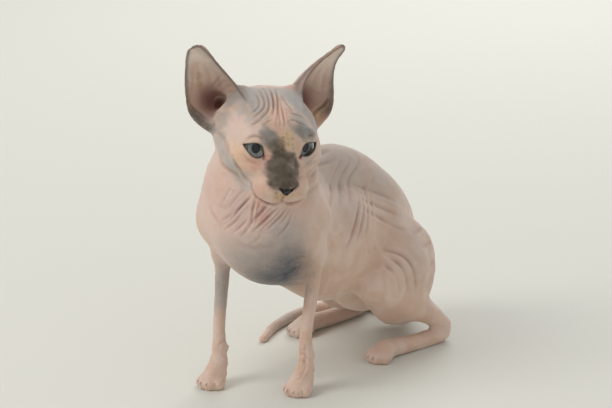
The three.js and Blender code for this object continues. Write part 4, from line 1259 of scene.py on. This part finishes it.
def eyeball_material():
    material = plain_material("eyeball", EYE_PLAIN, 0.25)
    n = Nodes(material.node_tree)
    shader = material.node_tree.nodes["Principled BSDF"]
    spoke = n.add("Attribute", attribute_name="spoke").outputs["Vector"]
    ring = n.mask("iris_ring")
    fibres = n.noise(spoke, 2.2, 5.0, 0.4)
    cloud = n.noise(n.place(), 300.0, 3.0)
    iris = n.mix(n.between(fibres, 0.35, 0.68), IRIS_DEEP, IRIS_PALE)
    iris = n.mix(n.math("MULTIPLY", n.between(ring, 0.0, 0.35, 1.0, 0.0), 0.45), iris, IRIS_WARM)
    iris = n.mix(n.between(ring, 0.8, 1.0), iris, IRIS_EDGE)
    # The white of the eye, painted dark as shade.
    shaded_white = n.mix(n.between(cloud, 0.4, 0.7), EYE_WHITE_IN_SHADE, EYE_PINK)
    colour = n.mix(n.between(ring, 1.0, 1.12), iris, shaded_white)
    colour = n.mix(n.math("MULTIPLY", n.mask("lid_shade"), 0.5), colour, LID_SHADE, "MULTIPLY")
    colour = n.mix(n.between(ring, -0.12, 0.02, 1.0, 0.0), colour, PUPIL_BLACK)
    n.put(shader.inputs["Base Color"], colour)
    n.put(shader.inputs["Roughness"], n.between(fibres, 0.3, 0.7, 0.3, 0.5))
    bump = n.add("Bump", {"Height": fibres, "Distance": 0.00025})
    n.put(shader.inputs["Normal"], bump.outputs[0])
    return material


def cornea_material():
    material = plain_material("clear_cornea", CORNEA_CLEAR, 0.02, **CORNEA_SHINE)
    shader = material.node_tree.nodes["Principled BSDF"]
    n = Nodes(material.node_tree)
    n.put(shader.inputs["Roughness"], n.between(n.noise(n.place(), 420.0), 0.3, 0.7, 0.0, 0.03))
    return material


def claw_material():
    material = plain_material("claw_horn", HORN_PLAIN, 0.35, **HORN_SHINE)
    n = Nodes(material.node_tree)
    shader = material.node_tree.nodes["Principled BSDF"]
    grain = n.add("Group", node_tree=skin_grain)
    grain.inputs["Lumps"].default_value = 0.4
    streaks = n.noise(n.stretched(n.place(), (1400, 300, 300)), 1.0, 3.0)
    n.put(shader.inputs["Base Color"], n.mix(n.between(streaks, 0.35, 0.65), HORN_PALE, HORN_DARK))
    n.put(shader.inputs["Roughness"], n.between(grain.outputs["Mottle"], 0.3, 0.7, 0.3, 0.45))
    bump = n.add("Bump", {"Height": grain.outputs["Height"], "Distance": 0.00005})
    n.put(shader.inputs["Normal"], bump.outputs[0])
    return material


# Eyes
def gaze_frame(side):
    ahead = head_frame.axes @ unit(GAZE[side])
    rise = head_frame.axes[:, 2]
    rise = unit(rise - (rise @ ahead) * ahead)
    return Frame(eye_frame(side).origin, np.stack([np.cross(rise, ahead), rise, ahead], 1))


def turned(place, rings, segments, oval=None):
    """Points and faces of a form turned about the frame's last axis, from rings of radius and height."""
    turn = np.linspace(0, 2 * np.pi, segments, endpoint=False)
    points, faces = [], []
    for k, (radius, height) in enumerate(rings):
        wide = oval(radius, height) if oval else 1.0
        flat = np.stack([np.cos(turn) * radius * wide, np.sin(turn) * radius, np.full(segments, height)], 1)
        points.append(flat)
        if k:
            a = np.arange(segments) + (k - 1) * segments
            b = np.roll(np.arange(segments), -1) + (k - 1) * segments
            faces.append(np.stack([a, b, b + segments, a + segments], 1))
    points = np.concatenate(points)
    return points @ place.axes.T + place.origin, np.concatenate(faces), points


def eyeball(side, name, material):
    """A ball whose front sinks in as the iris and falls away into the pupil."""
    segments = 96
    limbus = math.asin((IRIS_RADIUS + 0.1) / EYE_RADIUS)
    turn = np.linspace(math.pi - 0.02, limbus, 30)
    rings = [(EYE_RADIUS * math.sin(a), EYE_RADIUS * math.cos(a)) for a in turn]
    depth = math.sqrt(EYE_RADIUS**2 - IRIS_RADIUS**2)
    for t in np.linspace(0, 1, 14):
        radius = IRIS_RADIUS + (PUPIL_RADIUS - IRIS_RADIUS) * t
        rings.append((radius, depth - 0.15 - 0.75 * t**0.8 + 0.12 * math.sin(t * 9)))
    rings += [(PUPIL_RADIUS * 0.96, depth - 1.5), (PUPIL_RADIUS * 0.6, depth - 2.0), (0.05, depth - 2.1)]

    def oval(radius, height):
        inward = min(max((IRIS_RADIUS - radius) / (IRIS_RADIUS - PUPIL_RADIUS), 0), 1)
        return 1 - PUPIL_NARROWING * inward if height > 0 else 1.0

    points, faces, flat = turned(gaze_frame(side), rings, segments, oval)
    ball_piece = mesh_object(name, points, faces[:, ::-1], material)
    ring_radius = np.repeat([r for r, _ in rings], segments)
    tones = (ring_radius - PUPIL_RADIUS) / (IRIS_RADIUS - PUPIL_RADIUS)
    tones[flat[:, 2] < depth * 0.93 - 2.2] = 1.6
    off_middle = np.hypot(flat[:, 0], flat[:, 1])
    around = flat[:, :2] / np.maximum(off_middle, 1e-3)[:, None] * 4
    spokes = np.column_stack([around, off_middle * 0.35])
    point_values(ball_piece, "iris_ring", tones)
    point_values(ball_piece, "lid_shade", step_between(flat[:, 1], -1.5, 4.5))
    point_values(ball_piece, "spoke", spokes)
    return ball_piece


def cornea(side, name, material):
    sit = math.sqrt(EYE_RADIUS**2 - CORNEA_EDGE**2) - 0.1
    drop = math.sqrt(CORNEA_RADIUS**2 - CORNEA_EDGE**2)
    dome = [
        (CORNEA_RADIUS * math.sin(a), sit - drop + CORNEA_RADIUS * math.cos(a))
        for a in np.linspace(math.asin(CORNEA_EDGE / CORNEA_RADIUS), 0.01, 16)
    ]
    back = [(r, sit - 0.05) for r in np.linspace(0.05, CORNEA_EDGE - 0.05, 6)]
    points, faces, _ = turned(gaze_frame(side), back + dome, 64)
    return mesh_object(name, points, faces[:, ::-1], material)


# Claws
def claws(name, place, x, y, material):
    points, faces = [], []
    segments = 10
    turn = np.linspace(0, 2 * np.pi, segments, endpoint=False)
    for out, ahead in TOES:
        root = (x + out, y + ahead + 1.5, 5.0)
        bend = (x + out * 1.03, y + ahead + 4.6, 4.9)
        point = (x + out * 1.05, y + ahead + 6.4, 2.6)
        path = curve([root, bend, point], 5)
        first = sum(len(p) for p in points)
        for k, middle in enumerate(path):
            run = unit(path[min(k + 1, len(path) - 1)] - path[max(k - 1, 0)])
            rise = unit(np.cross((1, 0, 0), run))
            radius = CLAW_RADIUS * (1 - k / (len(path) - 0.7)) ** 0.7
            wall = np.cos(turn)[:, None] * np.array([CLAW_FLATNESS, 0, 0]) + np.sin(turn)[:, None] * rise
            points.append(middle + radius * wall)
            if k:
                a = np.arange(segments) + first + (k - 1) * segments
                b = np.roll(np.arange(segments), -1) + first + (k - 1) * segments
                faces.append(np.stack([a, b, b + segments, a + segments], 1))
    points = place.origin + np.concatenate(points) @ place.axes.T
    return mesh_object(name, points, np.concatenate(faces), material)


# Making the skin: the grid's ends and fine spans along each axis, how far folds rise and sink, and how far
# a fold sinks before the painted shade in it is full
MOST_RIDGE, MOST_SUNK = 0.7, 2.0
CREASE_SHADE_FULL = 1.1
grid_axes = (
    grid_lines(-84.0, 56.0, ((-52.0, 50.0),)),
    grid_lines(-120.0, 120.0, ((-118.0, -22.0),)),
    grid_lines(-3.0, 244.0, ((140.0, 244.0), (-3.0, 12.0))),
)
ground = Solid((-300, -300, -60), (300, 300, 0), lambda p, room: p[:, 2])
standing = grown([(body, 1.0), (ground, 0.6, "cut")])
points, quads = skin_mesh(skin_grid(standing, grid_axes), grid_axes)
points, normals = settled(standing, points, 0.4)
sunk = np.zeros(len(points))
for fold in skin_folds():
    near, depth = fold.groove(points)
    sunk[near] += depth
sunk = np.clip(sunk, -MOST_RIDGE, MOST_SUNK)
on_floor = step_between(points[:, 2], 1.0, 4.0)
uneven = 0.10 * wobble(points, 7.0, 5) + 0.06 * wobble(points, 3.0, 6)
points = points - normals * ((sunk + uneven) * on_floor)[:, None]
# The folds' depth also gives the painted shade in their creases.
marks = skin_marks(points, np.clip(sunk / CREASE_SHADE_FULL, 0, 1))
skin = mesh_object("skin", points, quads, skin_material())
for name, values in marks.items():
    point_values(skin, name, values)
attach(skin, "root")
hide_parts(*[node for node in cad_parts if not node.startswith("eye_")])

# Making the eyes and the claws
ball_skin, clear_skin, horn = eyeball_material(), cornea_material(), claw_material()
for side, name in ((1, "left"), (-1, "right")):
    ball_piece = eyeball(side, f"eyeball_{name}", ball_skin)
    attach(ball_piece, "root")
    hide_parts(f"eye_{name}")
    clear = cornea(side, f"cornea_{name}", clear_skin)
    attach(clear, "root")
feet = [("forepaw_" + name, chest_frame, *leg[1]) for name, leg in FORELEGS.items()]
for side, name in ((1, "left"), (-1, "right")):
    feet.append(("hind_foot_" + name, hip_frame, *mirrored(HIND_PAW, side)))
for name, place, x, y in feet:
    piece = claws("claws_" + name, place, x, y, horn)
    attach(piece, "root")

# The camera
camera_data = bpy.data.cameras.new("camera")
camera_data.sensor_width = 36.0
camera_data.lens = VIEW_FOCAL / PHOTO_SIZE[0] * camera_data.sensor_width
camera_data.clip_start = 0.05
camera_data.clip_end = 20.0
camera = bpy.data.objects.new("camera", camera_data)
bpy.context.scene.collection.objects.link(camera)
camera.location = in_frame(view_eye)
camera.rotation_mode = "QUATERNION"
camera.rotation_quaternion = Vector(-view_back).to_track_quat("-Z", "Y")
bpy.context.scene.camera = camera

# The floor and the light
FLOOR_REACH = 4.0
FLOOR_COLOUR = (0.70, 0.69, 0.62)
ROOM_COLOUR = (0.93, 0.94, 0.95)
ROOM_STRENGTH = 0.6
LAMP_AIM = Vector((0.0, 0.0, 0.12))
floor_corners = [(FLOOR_REACH * x, FLOOR_REACH * y, 0) for x, y in ((-1, -1), (1, -1), (1, 1), (-1, 1))]
floor_mesh = bpy.data.meshes.new("floor")
floor_mesh.from_pydata(floor_corners, [], [(0, 1, 2, 3)])
floor_mesh.materials.append(plain_material("pale_floor", FLOOR_COLOUR, 0.7))
floor = bpy.data.objects.new("floor", floor_mesh)
bpy.context.scene.collection.objects.link(floor)

# The lamps: name, place, size, power and whether the eyes mirror it
LAMPS = (
    ("key_light", (-0.9, -1.6, 1.6), 1.1, 21, True),
    ("fill_light", (1.8, -0.9, 0.9), 1.6, 3, False),
    ("back_light", (-0.6, 1.5, 1.3), 1.2, 17, False),
)
for name, place, size, power, mirrored_in_eyes in LAMPS:
    lamp = bpy.data.lights.new(name, "AREA")
    lamp.size = size
    lamp.energy = power
    light = bpy.data.objects.new(name, lamp)
    bpy.context.scene.collection.objects.link(light)
    light.location = place
    light.rotation_mode = "QUATERNION"
    light.rotation_quaternion = (LAMP_AIM - Vector(place)).to_track_quat("-Z", "Y")
    light.visible_glossy = mirrored_in_eyes
    light.visible_transmission = mirrored_in_eyes

world = bpy.data.worlds.new("studio")
world.use_nodes = True
room = world.node_tree.nodes["Background"]
room.inputs["Color"].default_value = (*ROOM_COLOUR, 1)
room.inputs["Strength"].default_value = ROOM_STRENGTH
bpy.context.scene.world = world
bpy.context.scene.view_settings.view_transform = "Standard"
